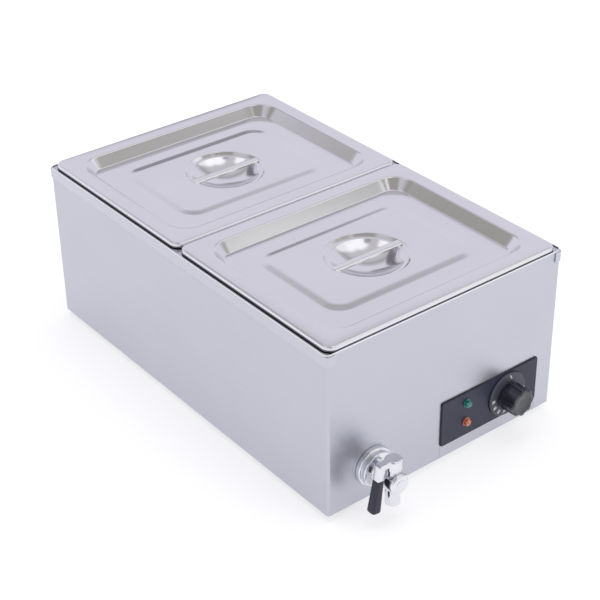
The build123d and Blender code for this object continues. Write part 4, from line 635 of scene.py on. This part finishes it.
def strap_handle(name, node):
    """A folded strap across the dish: a channel section whose ends follow the dish's leaning round wall.

    A point of the section at (y, z) runs along x between -e and e, with e = sqrt((reach + z)² - y²).
    """
    outer = channel_side(STRAP_HALF, STRAP_HEIGHT, STRAP_BEND)
    inner = channel_side(STRAP_HALF - STRAP_SHEET, STRAP_HEIGHT - STRAP_SHEET, STRAP_INNER_BEND)
    side, rise = np.concatenate((outer, inner[::-1])).T
    along = np.linspace(-1, 1, STRAP_ROWS)[:, None] * np.sqrt((STRAP_REACH + rise) ** 2 - side ** 2)
    loops = np.stack((along, np.broadcast_to(side, along.shape), np.broadcast_to(rise, along.shape)), axis=-1)
    foot = (*middle(node)[:2], span(node)[0][2])
    points, faces = loops_to_faces(loops[:, ::-1] + foot)
    count = loops.shape[1]
    ends = [list(range(count))[::-1], list(range(len(points) - count, len(points)))]
    return make_object(name, points, faces + ends, CRISP_STRAP)


# Pans: insets run inwards from the pan's edge

PAN_SHEET = 1.0
PAN_CORNER_POINTS = 14
PAN_RIM = 2.0
PAN_RIM_BEND = 1.6
# Inset over which the pan's turned edge carries the painted gap shadow
PAN_SHADOW_BAND = 0.8
PAN_EDGE_PLAY = 0.4
PAN_FLANGE = 10.0
PAN_DRAFT = radians(3)
PAN_MOUTH_BEND = 4.0
PAN_FLOOR_BEND = 14.0
PAN_FLOOR_REACH = 60.0
PAN_CORNER = 11.0
MOUTH_INSET = 6.2
MOUTH_CORNER = 43.8
FOOT_CORNER = 34.8
LAST_INSET = 48.0
LAST_CORNER = 2.0


def pan_skin(name, node):
    """Upper skin of a drawn pan: rounded rectangles along a section from the turned rim to the floor."""
    low, high = span(node)
    half_x, half_y = (high - low)[:2] / 2 - PAN_EDGE_PLAY
    top = high[2]
    floor = low[2] + PAN_SHEET
    wall_foot = PAN_FLANGE + (top - floor) * tan(PAN_DRAFT)
    inset, height = rounded_path(
        [(0, top - PAN_RIM), (0, top), (PAN_FLANGE, top), (wall_foot, floor), (PAN_FLOOR_REACH, floor)],
        [PAN_RIM_BEND, PAN_MOUTH_BEND, PAN_FLOOR_BEND],
    ).T
    corner = np.interp(
        inset,
        [0, PAN_RIM_BEND, MOUTH_INSET, wall_foot, LAST_INSET],
        [PAN_CORNER, PAN_CORNER - PAN_RIM_BEND, MOUTH_CORNER, FOOT_CORNER, LAST_CORNER],
    )
    flat_loops = rounded_loops(half_x - inset, half_y - inset, corner, per_corner=PAN_CORNER_POINTS)
    centre = np.array((*middle(node)[:2], 0))
    loops = at_heights(flat_loops, height) + centre
    piece = make_object(name, *loops_to_faces(loops, last=centre + (0, 0, floor)), CRISP_PRESSED)
    # Painted shadow of the gap under the lid's rim, on the pan's turned edge
    shade_rows(piece, np.clip(1 - inset / PAN_SHADOW_BAND, 0, 1), loops.shape[1])
    sheet_thickness(piece, PAN_SHEET)
    return piece


for end in ("front", "rear"):
    lid = f"lid_{end}"
    handle = f"lid_{end}_handle"
    pan = f"pan_{end}"
    dress(lid_skin(f"{end}_lid_skin", lid), pressed_steel, lid, "stainless", lid)
    dress(strap_handle(f"{end}_lid_strap", handle), strap_steel, lid, "stainless", handle)
    dress(pan_skin(f"{end}_pan_skin", pan), pan_steel, pan, "stainless", pan)


# Deck edge

EDGE_HEIGHT = 1.5
EDGE_WIDTH = 1.6
EDGE_PLAY = 0.05
EDGE_TOP_START = 0.35
EDGE_TOP_END = 1.1
EDGE_BENDS = (0.3, 0.4)
EDGE_CORNER = 6.0
EDGE_SIDE_POINTS = 30
DECK_TOP_DROP = 0.02


def deck_edge(name):
    """The deck's folded edge: a low rounded ridge carried round a rounded rectangle.

    The path keeps to the deck's lips at the sides and to the shell's faces at the front and the back.
    """
    lip_low, lip_high = span("water_tank")
    wall_low, wall_high = span("outer_shell")
    half_x = (lip_high - lip_low)[0] / 2
    half_y = (wall_high - wall_low)[1] / 2
    foot = lip_high[2] - DECK_TOP_DROP
    top = foot + EDGE_HEIGHT
    outline = rounded_path(
        [(EDGE_PLAY, foot), (EDGE_TOP_START, top), (EDGE_TOP_END, top), (EDGE_WIDTH, foot)], EDGE_BENDS
    )
    inset, height = outline[::-1].T
    ridge = rounded_loops(half_x - inset, half_y - inset, EDGE_CORNER - inset, per_side=EDGE_SIDE_POINTS)
    centre = (*((wall_low + wall_high) / 2)[:2], 0)
    return make_object(name, *loops_to_faces(at_heights(ridge, height) + centre, ring=True), CRISP_ROUNDED)


dress(deck_edge("deck_edge"), pressed_steel, "housing", "stainless")


# Thermostat knob

GRIP_RADIUS = 17.2
GRIP_LENGTH = 24.0
GRIP_DRAFT = tan(radians(1.5))
GRIP_EDGE = 1.5
GRIP_BACK_EDGE = 0.5
GRIP_POINTS = 384
EDGE_ROWS = 7
STRAIGHT_ROWS = 6
NECK_RADIUS = 13.0
NECK_LENGTH = 2.2
FLUTES = 8
FLUTE_RADIUS = 9.0
FLUTE_DEPTH = 1.8
FLUTE_CIRCLE = GRIP_RADIUS + FLUTE_RADIUS - FLUTE_DEPTH
FLUTE_BLEND = 0.22
POINTER_HALF = 2.5
POINTER_GROOVE_HALF = 0.8
POINTER_PROUD = 0.9
POINTER_BLEND = 0.12
POINTER_MARGIN = 1.0
OFF_POINTER = 50.0
FACE_RADIUS = 11.5
FACE_DEPTH = 0.8

# Radius and depth of the rings over the brim of the dished face and on its floor
FACE_RINGS = np.array((
    (FACE_RADIUS + 1.2, 0),
    (FACE_RADIUS + 0.2, 0),
    (FACE_RADIUS, 0.05),
    (FACE_RADIUS - 0.2, 0.4),
    (FACE_RADIUS - 0.8, FACE_DEPTH),
    (4.0, FACE_DEPTH),
))


def soft_least(first, second, blend):
    """The smaller of two lengths, with the crease between them rounded over the blend."""
    return -blend * np.log(np.exp(-first / blend) + np.exp(-second / blend))


def soft_within(length, limit, blend):
    """1 where a length is under the limit and 0 past it, with a smooth step over the blend."""
    return 1 / (1 + np.exp((length - limit) / blend))


def grip_radius(angle, forward):
    """Radius of the fluted grip at an angle and a distance forward.

    A cone, hollowed by round flutes whose axes stand on a circle: along a flute's own direction the
    hollow's wall lies at D cos(d) - sqrt(f² - D² sin²(d)), with d the angle from the flute.
    Two ridges with a groove between them stand on the top lobe.
    """
    cone = GRIP_RADIUS - forward * GRIP_DRAFT
    flute = FLUTE_RADIUS + forward * GRIP_DRAFT
    pitch = 2 * pi / FLUTES
    off_flute = np.mod(angle - pi / 2, pitch) - pitch / 2
    inside = np.maximum(flute ** 2 - (FLUTE_CIRCLE * np.sin(off_flute)) ** 2, 0.0)
    hollow = FLUTE_CIRCLE * np.cos(off_flute) - np.sqrt(inside)
    fluted = soft_least(cone, hollow, FLUTE_BLEND)
    sideways = np.abs(cone * np.cos(angle)) + OFF_POINTER * (np.sin(angle) < 0)
    ridge = soft_within(sideways, POINTER_HALF, POINTER_BLEND)
    ridge = ridge - soft_within(sideways, POINTER_GROOVE_HALF, POINTER_BLEND)
    pointer = cone + (2 * ridge - 1) * POINTER_PROUD
    return np.maximum(fluted, np.where(sideways < POINTER_HALF + POINTER_MARGIN, pointer, 0))


def knob_grip(name, node):
    """The knob: a round neck, rows of the fluted outline between rounded edges, and a dished face."""
    angle = np.linspace(0, 2 * pi, GRIP_POINTS, endpoint=False)
    edge_turn = np.linspace(0, pi / 2, EDGE_ROWS)
    back = NECK_LENGTH + GRIP_BACK_EDGE
    front = GRIP_LENGTH - GRIP_EDGE
    straight = np.linspace(back, front, STRAIGHT_ROWS)[1:-1]
    back_edge = NECK_LENGTH + GRIP_BACK_EDGE * (1 - np.cos(edge_turn))
    forward = np.concatenate((back_edge, straight, front + GRIP_EDGE * np.sin(edge_turn)))
    back_drawn_in = GRIP_BACK_EDGE * (1 - np.sin(edge_turn))
    front_drawn_in = GRIP_EDGE * (1 - np.cos(edge_turn))
    drawn_in = np.concatenate((back_drawn_in, np.zeros(len(straight)), front_drawn_in))
    side = grip_radius(angle[None], forward[:, None]) - drawn_in[:, None]
    neck = np.full((2, GRIP_POINTS), NECK_RADIUS)
    face_radius, face_depth = FACE_RINGS.T
    face = np.repeat(face_radius[:, None], GRIP_POINTS, axis=1)
    heights = np.concatenate(((0, NECK_LENGTH), forward, GRIP_LENGTH - face_depth))
    loops = at_heights(round_loops(np.concatenate((neck, side, face)), angle), heights)
    low, high = span(node)
    lowest = GRIP_RADIUS - NECK_LENGTH * GRIP_DRAFT
    foot = np.array(((low[0] + high[0]) / 2, high[1], low[2] + lowest))
    face_middle = foot - (0, GRIP_LENGTH - FACE_DEPTH, 0)
    return make_object(name, *loops_to_faces(loops @ FORWARD + foot, foot, face_middle), CRISP_ROUNDED)


knob = knob_grip("knob_grip", "thermostat_knob")
dress(knob, black_knob, "thermostat_knob", "knob_plastic", "thermostat_knob")


# Graduated skirt and its print

SKIRT_RADIUS = 27.5
SKIRT_THICKNESS = 2.6
SKIRT_BEVEL = 1.2
SKIRT_BACK_RING = 25.5
SKIRT_FRONT_RING = 10.0
SKIRT_BENDS = (0.3, 0.5, 0.5)


def dial_disc(name, node):
    """The skirt: a disc with a bevelled front edge."""
    rim = rounded_path(
        [(SKIRT_BACK_RING, 0), (SKIRT_RADIUS, 0), (SKIRT_RADIUS, SKIRT_THICKNESS - SKIRT_BEVEL),
         (SKIRT_RADIUS - SKIRT_BEVEL, SKIRT_THICKNESS), (SKIRT_FRONT_RING, SKIRT_THICKNESS)],
        SKIRT_BENDS, steps=5,
    )
    return turned(name, rim, back_of(node), FORWARD, LARGE_ROUND, CRISP_ROUNDED)


PRINT_DEPTH = 0.06
PRINT_CIRCLE = 22.6
DIGIT_HEIGHT = 4.0
DIGIT_NARROWING = 0.92
DIGIT_WEIGHT = 0.045


def on_dial(points, angle, centre, lean=0.0):
    """Points laid on the dial's face: their x runs inwards at an angle from the top, ccw, plus a lean."""
    inward = np.array((sin(angle + lean), -cos(angle + lean)))
    sideways = np.array((cos(angle + lean), sin(angle + lean)))
    spot = PRINT_CIRCLE * np.array((-sin(angle), cos(angle)))
    flat = points[:, :1] * inward + points[:, 1:2] * sideways + spot
    return np.column_stack((flat, points[:, 2])) @ FORWARD + centre


def printed_number(name, text, angle, centre):
    """A number as a thin raised print that reads towards the dial's middle."""
    letters = bpy.data.curves.new(name, "FONT")
    letters.body = text
    letters.align_x = "CENTER"
    letters.size = 1.0
    letters.extrude = 0.5
    letters.offset = DIGIT_WEIGHT
    holder = show(name, letters)
    mesh = as_mesh(holder)
    bpy.data.objects.remove(holder)
    points = np.empty(len(mesh.vertices) * 3)
    mesh.vertices.foreach_get("co", points)
    points = points.reshape(-1, 3)
    scale = DIGIT_HEIGHT / np.ptp(points[:, 1])
    middle_height = (points[:, 1].max() + points[:, 1].min()) / 2
    points = (points - (0, middle_height, 0)) * (DIGIT_NARROWING * scale, scale, PRINT_DEPTH)
    placed = on_dial(points, angle, centre) * MM
    mesh.vertices.foreach_set("co", placed.ravel())
    return show(name, mesh)


def printed_tick(name, angle, lean, length, width, centre):
    """A short line as a thin raised print, leaning from the radial direction."""
    along = np.array((-1, 1, 1, -1)) * length / 2
    across = np.array((-1, -1, 1, 1)) * width / 2
    corners = np.stack((along, across), axis=-1)
    loops = at_heights(np.stack((corners, corners)), (-PRINT_DEPTH / 2, PRINT_DEPTH / 2))
    points, faces = loops_to_faces(loops)
    back_and_front = [(3, 2, 1, 0), (4, 5, 6, 7)]
    return make_object(name, on_dial(points, angle, centre, lean), faces + back_and_front)


START_ANGLE = radians(-7.6)
START_LEAN = radians(37)
START_LENGTH = 6.2
START_WIDTH = 1.3
FIRST_NUMBER = 30
NUMBER_STEP = 10
NUMBERS = 8
FIRST_ANGLE = 93
ANGLE_STEP = 25

dress(dial_disc("dial_disc", "dial_skirt"), dial_plastic, "thermostat_knob", "dial_plastic", "dial_skirt")
dial_face = front_of("dial_skirt")
start_mark = printed_tick("dial_start_mark", START_ANGLE, START_LEAN, START_LENGTH, START_WIDTH, dial_face)
dress(start_mark, white_print, "thermostat_knob", "dial_plastic")
for count in range(NUMBERS):
    number = FIRST_NUMBER + count * NUMBER_STEP
    number_angle = radians(FIRST_ANGLE + ANGLE_STEP * count)
    number_print = printed_number(f"dial_number_{number}", str(number), number_angle, dial_face)
    dress(number_print, white_print, "thermostat_knob", "dial_plastic")


# Pilot lenses

LENS_RADIUS = 4.5
LENS_LENGTH = 5.0
LENS_FLANGE_RADIUS = 5.6
LENS_FLANGE = 1.0
LENS_BACK_RING = 4.0
LENS_TIP_RING = 0.4
LENS_BENDS = (0.2, 0.35, 0.25, 1.9)
LENS_FLATS = 10


def lens_dome(name, node):
    """A pilot lens: a flanged dome whose sides are cut into flats, round at the tip."""
    profile = rounded_path(
        [(LENS_BACK_RING, 0), (LENS_FLANGE_RADIUS, 0), (LENS_FLANGE_RADIUS, LENS_FLANGE),
         (LENS_RADIUS, LENS_FLANGE), (LENS_RADIUS, LENS_LENGTH), (LENS_TIP_RING, LENS_LENGTH)],
        LENS_BENDS, steps=6,
    )
    return turned(name, profile, back_of(node), FORWARD, LENS_FLATS, CRISP_FACET)


dress(lens_dome("green_lens_dome", "green_lens"), green_tint, "housing", "lens_green", "green_lens")
dress(lens_dome("orange_lens_dome", "orange_lens"), orange_tint, "housing", "lens_orange", "orange_lens")


# Drain tap: lengths on its own axis start at the wall, lengths on the stem's axis where the two axes cross

WALL_FACE = span("outer_shell")[0][1]
TAP_X, _, TAP_Z = front_of("tap_rosette")
TAP_AXIS = np.array((TAP_X, WALL_FACE, TAP_Z))
STEM_OUT = 33.5
STEM_AXIS = TAP_AXIS - (0, STEM_OUT, 0)

ROSETTE_HOLE = 10.8
ROSETTE_RADIUS = 23.5
ROSETTE_BACK = 0.3
ROSETTE_FRONT = 6.5
ROSETTE_BENDS = (0.1, 0.2, 0.3, 2.2)
CUP_RADIUS = 21.3
CUP_FLOOR = 1.5


def rosette_ring(name):
    """The wall rosette: a shallow cup over the gasket, with a rounded front edge."""
    outline = rounded_path(
        [(ROSETTE_HOLE, CUP_FLOOR), (CUP_RADIUS, CUP_FLOOR), (CUP_RADIUS, ROSETTE_BACK),
         (ROSETTE_RADIUS, ROSETTE_BACK), (ROSETTE_RADIUS, ROSETTE_FRONT), (ROSETTE_HOLE, ROSETTE_FRONT)],
        ROSETTE_BENDS,
    )
    return turned_ring(name, outline, TAP_AXIS, FORWARD, LARGE_ROUND, CRISP_ROUNDED)


TAIL_BACK = WALL_FACE - span("tap_body")[1][1]
TAIL_RADIUS = 10.5
COLLAR_RADIUS = 21.0
COLLAR_FRONT = 12.5
WAIST_RADIUS = 11.0
CHAMBER_BACK = 21.5
CHAMBER_RADIUS = 12.5
CHAMBER_FRONT = 42.0
CHAMBER_END_RING = 12.0
BARREL_BENDS = (0.1, 0.4, 1.8, 2.0, 0.5, 0.5, 0.2)
STEM_RING = 8.0
SPOUT_RADIUS = 8.5
SPOUT_LENGTH = 30.0
SPOUT_BORE = 6.0
SPOUT_BORE_END = 12.0
SPOUT_BENDS = (0.2, 1.2, 0.5, 0.5)
BOSS_RADIUS = 8.2
BOSS_TOP = 13.0
BOSS_BENDS = (0.1, 0.2)


def tap_casting(name):
    """The tap's body: tail, collar, waist and chamber turned on one axis, spout and boss on the stem's."""
    barrel = rounded_path(
        [(TAIL_RADIUS, TAIL_BACK), (TAIL_RADIUS, ROSETTE_FRONT), (COLLAR_RADIUS, ROSETTE_FRONT),
         (COLLAR_RADIUS, COLLAR_FRONT), (WAIST_RADIUS, COLLAR_FRONT), (WAIST_RADIUS, CHAMBER_BACK),
         (CHAMBER_RADIUS, CHAMBER_BACK), (CHAMBER_RADIUS, CHAMBER_FRONT), (CHAMBER_END_RING, CHAMBER_FRONT)],
        BARREL_BENDS,
    )
    spout = rounded_path(
        [(STEM_RING, 0), (SPOUT_RADIUS, 0), (SPOUT_RADIUS, SPOUT_LENGTH), (SPOUT_BORE, SPOUT_LENGTH),
         (SPOUT_BORE, SPOUT_BORE_END), (POLE_RING, SPOUT_BORE_END)],
        SPOUT_BENDS,
    )
    boss = rounded_path(
        [(STEM_RING, 0), (BOSS_RADIUS, 0), (BOSS_RADIUS, BOSS_TOP), (POLE_RING, BOSS_TOP)], BOSS_BENDS
    )
    return fuse(name, [
        turned("barrel", barrel, TAP_AXIS, FORWARD, LARGE_ROUND),
        turned("spout", spout, STEM_AXIS, DOWNWARD, SMALL_ROUND),
        turned("boss", boss, STEM_AXIS, UPWARD, SMALL_ROUND),
    ])


CAP_BACK = 42.1
CAP_BACK_RING = 11.0
CAP_FRONT = 46.5
CAP_BOSS_RADIUS = 6.5
CAP_BOSS_FRONT = 47.1
CAP_BENDS = (0.2, 4.0, 0.25, 0.25)


def tap_cover(name):
    """The domed cap at the chamber's front, with a low round boss."""
    outline = rounded_path(
        [(CAP_BACK_RING, CAP_BACK), (CHAMBER_RADIUS, CAP_BACK), (CHAMBER_RADIUS, CAP_FRONT),
         (CAP_BOSS_RADIUS, CAP_FRONT), (CAP_BOSS_RADIUS, CAP_BOSS_FRONT), (POLE_RING, CAP_BOSS_FRONT)],
        CAP_BENDS, steps=9,
    )
    return turned(name, outline, TAP_AXIS, FORWARD, LARGE_ROUND, CRISP_ROUNDED)


NUT_HOLE = 4.1
NUT_TOP = 15.6
NUT_BENDS = (0.15, 0.6)


def packing_nut(name):
    """The nut round the stem, on top of the boss."""
    outline = rounded_path(
        [(NUT_HOLE, BOSS_TOP), (BOSS_RADIUS, BOSS_TOP), (BOSS_RADIUS, NUT_TOP), (NUT_HOLE, NUT_TOP)],
        NUT_BENDS,
    )
    return turned_ring(name, outline, STEM_AXIS, UPWARD, SMALL_ROUND, CRISP_ROUNDED)


HUB_FOOT = 16.0
HUB_TOP = 29.0
HUB_RADIUS = 9.5
HUB_FOOT_RING = 8.8
HUB_BENDS = (0.4, 2.5)
ARM_REACH = 17.5
ARM_ROOT_HEIGHT = 9.0
ARM_END_HEIGHT = 6.5
ELBOW_BEND = 3.4
ARMPIT_BEND = 1.2
ARM_STEPS = 10
LEVER_CORNER = 1.1
LEG_LEAN = radians(8.4)
LEG_LENGTH = 19.0
LEG_HALF = 4.5
LEG_DOWN = np.array((sin(LEG_LEAN), -cos(LEG_LEAN)))
LEG_ACROSS = np.array((cos(LEG_LEAN), sin(LEG_LEAN)))
LEG_FOOT = np.array((ARM_REACH, HUB_TOP)) + LEG_LENGTH * LEG_DOWN


def lever_loops(outer, inner, half_width, corner):
    """Rounded rectangles between two lines in the lever's plane: one per pair of points (out, up)."""
    middle_line = (outer + inner) / 2
    height = np.linalg.norm(outer - inner, axis=1)
    toward = (outer - inner) / height[:, None]
    flat = rounded_loops(half_width, height / 2, corner, per_corner=6, per_side=2)
    out_up = middle_line[:, None] + flat[:, :, 1:] * toward[:, None]
    return np.stack((-out_up[:, :, 0], -flat[:, :, 0], out_up[:, :, 1]), axis=-1) + STEM_AXIS


def lever_arm(name):
    """The lever: a turned hub, and an arm that runs out from it and bends down into a leaning leg."""
    leg_side = LEG_HALF * LEG_ACROSS
    elbow_out = ARM_REACH + LEG_HALF / cos(LEG_LEAN)
    armpit_out = ARM_REACH - LEG_HALF / cos(LEG_LEAN) + ARM_END_HEIGHT * tan(LEG_LEAN)
    outer = rounded_path([(0, HUB_TOP), (elbow_out, HUB_TOP), LEG_FOOT + leg_side], [ELBOW_BEND], ARM_STEPS)
    inner = rounded_path(
        [(0, HUB_TOP - ARM_ROOT_HEIGHT), (armpit_out, HUB_TOP - ARM_END_HEIGHT), LEG_FOOT - leg_side],
        [ARMPIT_BEND], ARM_STEPS,
    )
    arm = lever_loops(outer, inner, LEG_HALF, LEVER_CORNER)
    hub = rounded_path(
        [(HUB_FOOT_RING, HUB_FOOT), (HUB_RADIUS, HUB_FOOT), (HUB_RADIUS, HUB_TOP), (POLE_RING, HUB_TOP)],
        HUB_BENDS,
    )
    return fuse(name, [
        turned("hub", hub, STEM_AXIS, UPWARD, SMALL_ROUND),
        make_object("arm", *capped_faces(arm)),
    ])


SLEEVE_LENGTH = 41.0
SLEEVE_START = 4.0
SLEEVE_ROWS = 11
SLEEVE_HALF = (4.8, 6.1)
SLEEVE_ROUNDING = 0.55
SLEEVE_END_BEND = 3.0
SLEEVE_END_ROWS = 9
MOUTH_ALONG = (0, 0.25, 0.6)
MOUTH_DRAWN_IN = (0.6, 0.15, 0)


def grip_sleeve(name):
    """The black grip: rounded squares down the leg's line, widening to a rounded end."""
    end_turn = np.linspace(0, pi / 2, SLEEVE_END_ROWS)
    straight_end = SLEEVE_LENGTH - SLEEVE_END_BEND
    straight = np.linspace(SLEEVE_START, straight_end, SLEEVE_ROWS, endpoint=False)
    along = np.concatenate((MOUTH_ALONG, straight, straight_end + SLEEVE_END_BEND * np.sin(end_turn)))
    end_drawn_in = SLEEVE_END_BEND * (1 - np.cos(end_turn))
    drawn_in = np.concatenate((MOUTH_DRAWN_IN, np.zeros(SLEEVE_ROWS), end_drawn_in))
    half = np.interp(along, (0, SLEEVE_LENGTH), SLEEVE_HALF) - drawn_in
    centre = LEG_FOOT + along[:, None] * LEG_DOWN
    side = half[:, None] * LEG_ACROSS
    loops = lever_loops(centre + side, centre - side, half, SLEEVE_ROUNDING * half)
    return make_object(name, *capped_faces(loops), CRISP_ROUNDED)


dress(rosette_ring("rosette_ring"), chrome_plate, "housing", "chrome", "tap_rosette")
dress(tap_casting("tap_casting"), chrome_plate, "housing", "chrome", "tap_body")
dress(tap_cover("tap_cover"), chrome_plate, "housing", "chrome", "tap_cap")
dress(packing_nut("packing_nut"), chrome_plate, "housing", "chrome", "tap_gland_nut")
dress(lever_arm("lever_arm"), chrome_plate, "tap_lever", "chrome", "tap_lever")
dress(grip_sleeve("grip_sleeve"), black_grip, "tap_lever", "knob_plastic", "lever_grip")


# Floor

FLOOR_HALF = 60000.0
PAPER_COLOR = (0.86, 0.86, 0.88)
PAPER_SEEN_COLOR = (0.50, 0.50, 0.52)
PAPER_SEEN_GLOW = 0.60


def white_paper(name):
    """Floor paper that throws light as a dull pale sheet.

    To the camera, in mirrors and through glass it is a greyer sheet with a glow, so that it looks white
    and keeps the object's shadow.
    """
    paper = bpy.data.materials.new(name)
    paper.use_nodes = True
    nodes = paper.node_tree.nodes
    links = paper.node_tree.links
    nodes.remove(nodes["Principled BSDF"])
    dull = nodes.new("ShaderNodeBsdfDiffuse")
    dull.inputs["Color"].default_value = (*PAPER_COLOR, 1)
    glow = nodes.new("ShaderNodeEmission")
    glow.inputs["Strength"].default_value = PAPER_SEEN_GLOW
    grey = nodes.new("ShaderNodeBsdfDiffuse")
    grey.inputs["Color"].default_value = (*PAPER_SEEN_COLOR, 1)
    seen = nodes.new("ShaderNodeAddShader")
    links.new(glow.outputs[0], seen.inputs[0])
    links.new(grey.outputs[0], seen.inputs[1])
    light_path = nodes.new("ShaderNodeLightPath")
    is_seen = light_path.outputs["Is Camera Ray"]
    for ray in ("Is Glossy Ray", "Is Transmission Ray"):
        either = nodes.new("ShaderNodeMath")
        either.operation = "MAXIMUM"
        links.new(is_seen, either.inputs[0])
        links.new(light_path.outputs[ray], either.inputs[1])
        is_seen = either.outputs[0]
    mix = nodes.new("ShaderNodeMixShader")
    links.new(is_seen, mix.inputs["Fac"])
    links.new(dull.outputs[0], mix.inputs[1])
    links.new(seen.outputs[0], mix.inputs[2])
    links.new(mix.outputs[0], nodes["Material Output"].inputs["Surface"])
    return paper


floor_corners = FLOOR_HALF * np.array(((-1, -1, 0), (1, -1, 0), (1, 1, 0), (-1, 1, 0)))
paper_floor = make_object("floor", floor_corners, [(0, 1, 2, 3)])
paper_floor.data.materials.append(white_paper("white paper"))


# Room and lights

# A patch is a direction, the cosines of the angles from it at which it begins and is full, and a colour
ROOM_COLOR = (0.81, 0.80, 0.885)
ROOM_PATCHES = {
    "dim cornice": ((0, 0, 1), 0.54, 0.69, (0.47, 0.46, 0.48)),
    "dim front": ((0.1, -0.75, 0.65), 0.55, 0.80, (0.49, 0.48, 0.46)),
    "grey ceiling": ((0, 0, 1), 0.69, 0.82, (0.66, 0.65, 0.67)),
    "dim front left of the ceiling": ((-0.25, -0.42, 0.87), 0.90, 0.96, (0.42, 0.39, 0.37)),
    "bright middle of the ceiling": ((0.15, -0.15, 0.977), 0.955, 0.985, (1.25, 1.25, 1.27)),
    "bright right of the ceiling": ((0.47, -0.20, 0.86), 0.950, 0.985, (1.25, 1.25, 1.27)),
    "bright upper right": ((0.67, -0.16, 0.72), 0.970, 0.990, (1.05, 1.05, 1.06)),
    "bright back left of the ceiling": ((-0.27, 0.34, 0.90), 0.980, 0.994, (1.20, 1.20, 1.22)),
    "bright front": ((0.25, -0.90, 0.35), 0.810, 0.848, (1.12, 1.12, 1.13)),
    "dim front right of the ceiling": ((0.37, -0.44, 0.82), 0.978, 0.986, (0.49, 0.475, 0.455)),
    "plain low front": ((0.1, -1.0, 0.0), 0.78, 0.90, (0.84, 0.83, 0.90)),
    "dim spot overhead": ((-0.08, -0.08, 0.99), 0.992, 0.9985, (0.40, 0.39, 0.42)),
    "dim back left": ((-0.58, 0.58, 0.57), 0.965, 0.998, (0.40, 0.39, 0.36)),
    "dim low back right": ((0.50, 0.83, 0.22), 0.986, 0.994, (0.28, 0.27, 0.30)),
}


def studio_room(name):
    """A room that is bright all round, with dim and bright patches laid over one another in turn."""
    room = bpy.data.worlds.new(name)
    room.use_nodes = True
    nodes = room.node_tree.nodes
    links = room.node_tree.links
    direction = nodes.new("ShaderNodeTexCoord").outputs["Generated"]
    plain = nodes.new("ShaderNodeRGB")
    plain.outputs[0].default_value = (*ROOM_COLOR, 1)
    light = plain.outputs[0]
    for patch, (side, start, full, color) in ROOM_PATCHES.items():
        toward = nodes.new("ShaderNodeVectorMath")
        toward.operation = "DOT_PRODUCT"
        toward.inputs[1].default_value = Vector(side).normalized()
        links.new(direction, toward.inputs[0])
        share = nodes.new("ShaderNodeMapRange")
        share.interpolation_type = "SMOOTHSTEP"
        share.inputs["From Min"].default_value = start
        share.inputs["From Max"].default_value = full
        links.new(toward.outputs["Value"], share.inputs["Value"])
        tone = nodes.new("ShaderNodeMix")
        tone.label = patch
        tone.data_type = "RGBA"
        links.new(share.outputs["Result"], tone.inputs[0])
        links.new(light, tone.inputs[MIX_FIRST])
        tone.inputs[MIX_SECOND].default_value = (*color, 1)
        light = tone.outputs[MIX_RESULT]
    links.new(light, nodes["Background"].inputs["Color"])
    return room


def soft_light(name, spot, aim, size, power, color):
    """A square soft light that mirrors don't show, turned to its aim; millimetres and watts."""
    lamp = bpy.data.lights.new(name, "AREA")
    lamp.size = size * MM
    lamp.energy = power
    lamp.color = color
    holder = show(name, lamp)
    holder.location = Vector(spot) * MM
    holder.rotation_euler = (Vector(aim) - Vector(spot)).to_track_quat("-Z", "Y").to_euler()
    holder.visible_glossy = False


bpy.context.scene.world = studio_room("studio room")
soft_light(
    "overhead light", spot=(0, 200, 2300), aim=(0, 0, 100), size=1800, power=15, color=(1.0, 0.99, 0.98)
)
soft_light(
    "front light", spot=(900, -2100, 1500), aim=(200, -500, 0), size=1000, power=5, color=(0.98, 0.98, 1.0)
)


# Camera

CAMERA_SPOT = (-942.05, -1214.77, 1052.19)
CAMERA_TURN = radians(-37.74)
CAMERA_TILT = radians(32.03)
CAMERA_ROLL = radians(-0.92)
CAMERA_LENS = 90.87
CAMERA_SENSOR = 36.0


def photo_camera(name):
    """The camera at its spot: turned about z, tilted down, and rolled about its line of sight."""
    level = cos(CAMERA_TILT)
    backward = Vector((sin(CAMERA_TURN) * level, -cos(CAMERA_TURN) * level, sin(CAMERA_TILT)))
    rightward = Vector((0, 0, 1)).cross(backward).normalized()
    upward = backward.cross(rightward)
    rolled_right = cos(CAMERA_ROLL) * rightward + sin(CAMERA_ROLL) * upward
    rolled_up = cos(CAMERA_ROLL) * upward - sin(CAMERA_ROLL) * rightward
    turned_axes = Matrix((rolled_right, rolled_up, backward)).transposed().to_4x4()
    camera = show(name, bpy.data.cameras.new(name))
    camera.data.lens = CAMERA_LENS
    camera.data.sensor_width = CAMERA_SENSOR
    camera.matrix_world = Matrix.Translation(Vector(CAMERA_SPOT) * MM) @ turned_axes
    return camera


bpy.context.scene.camera = photo_camera("camera")
bpy.context.scene.view_settings.view_transform = "Standard"
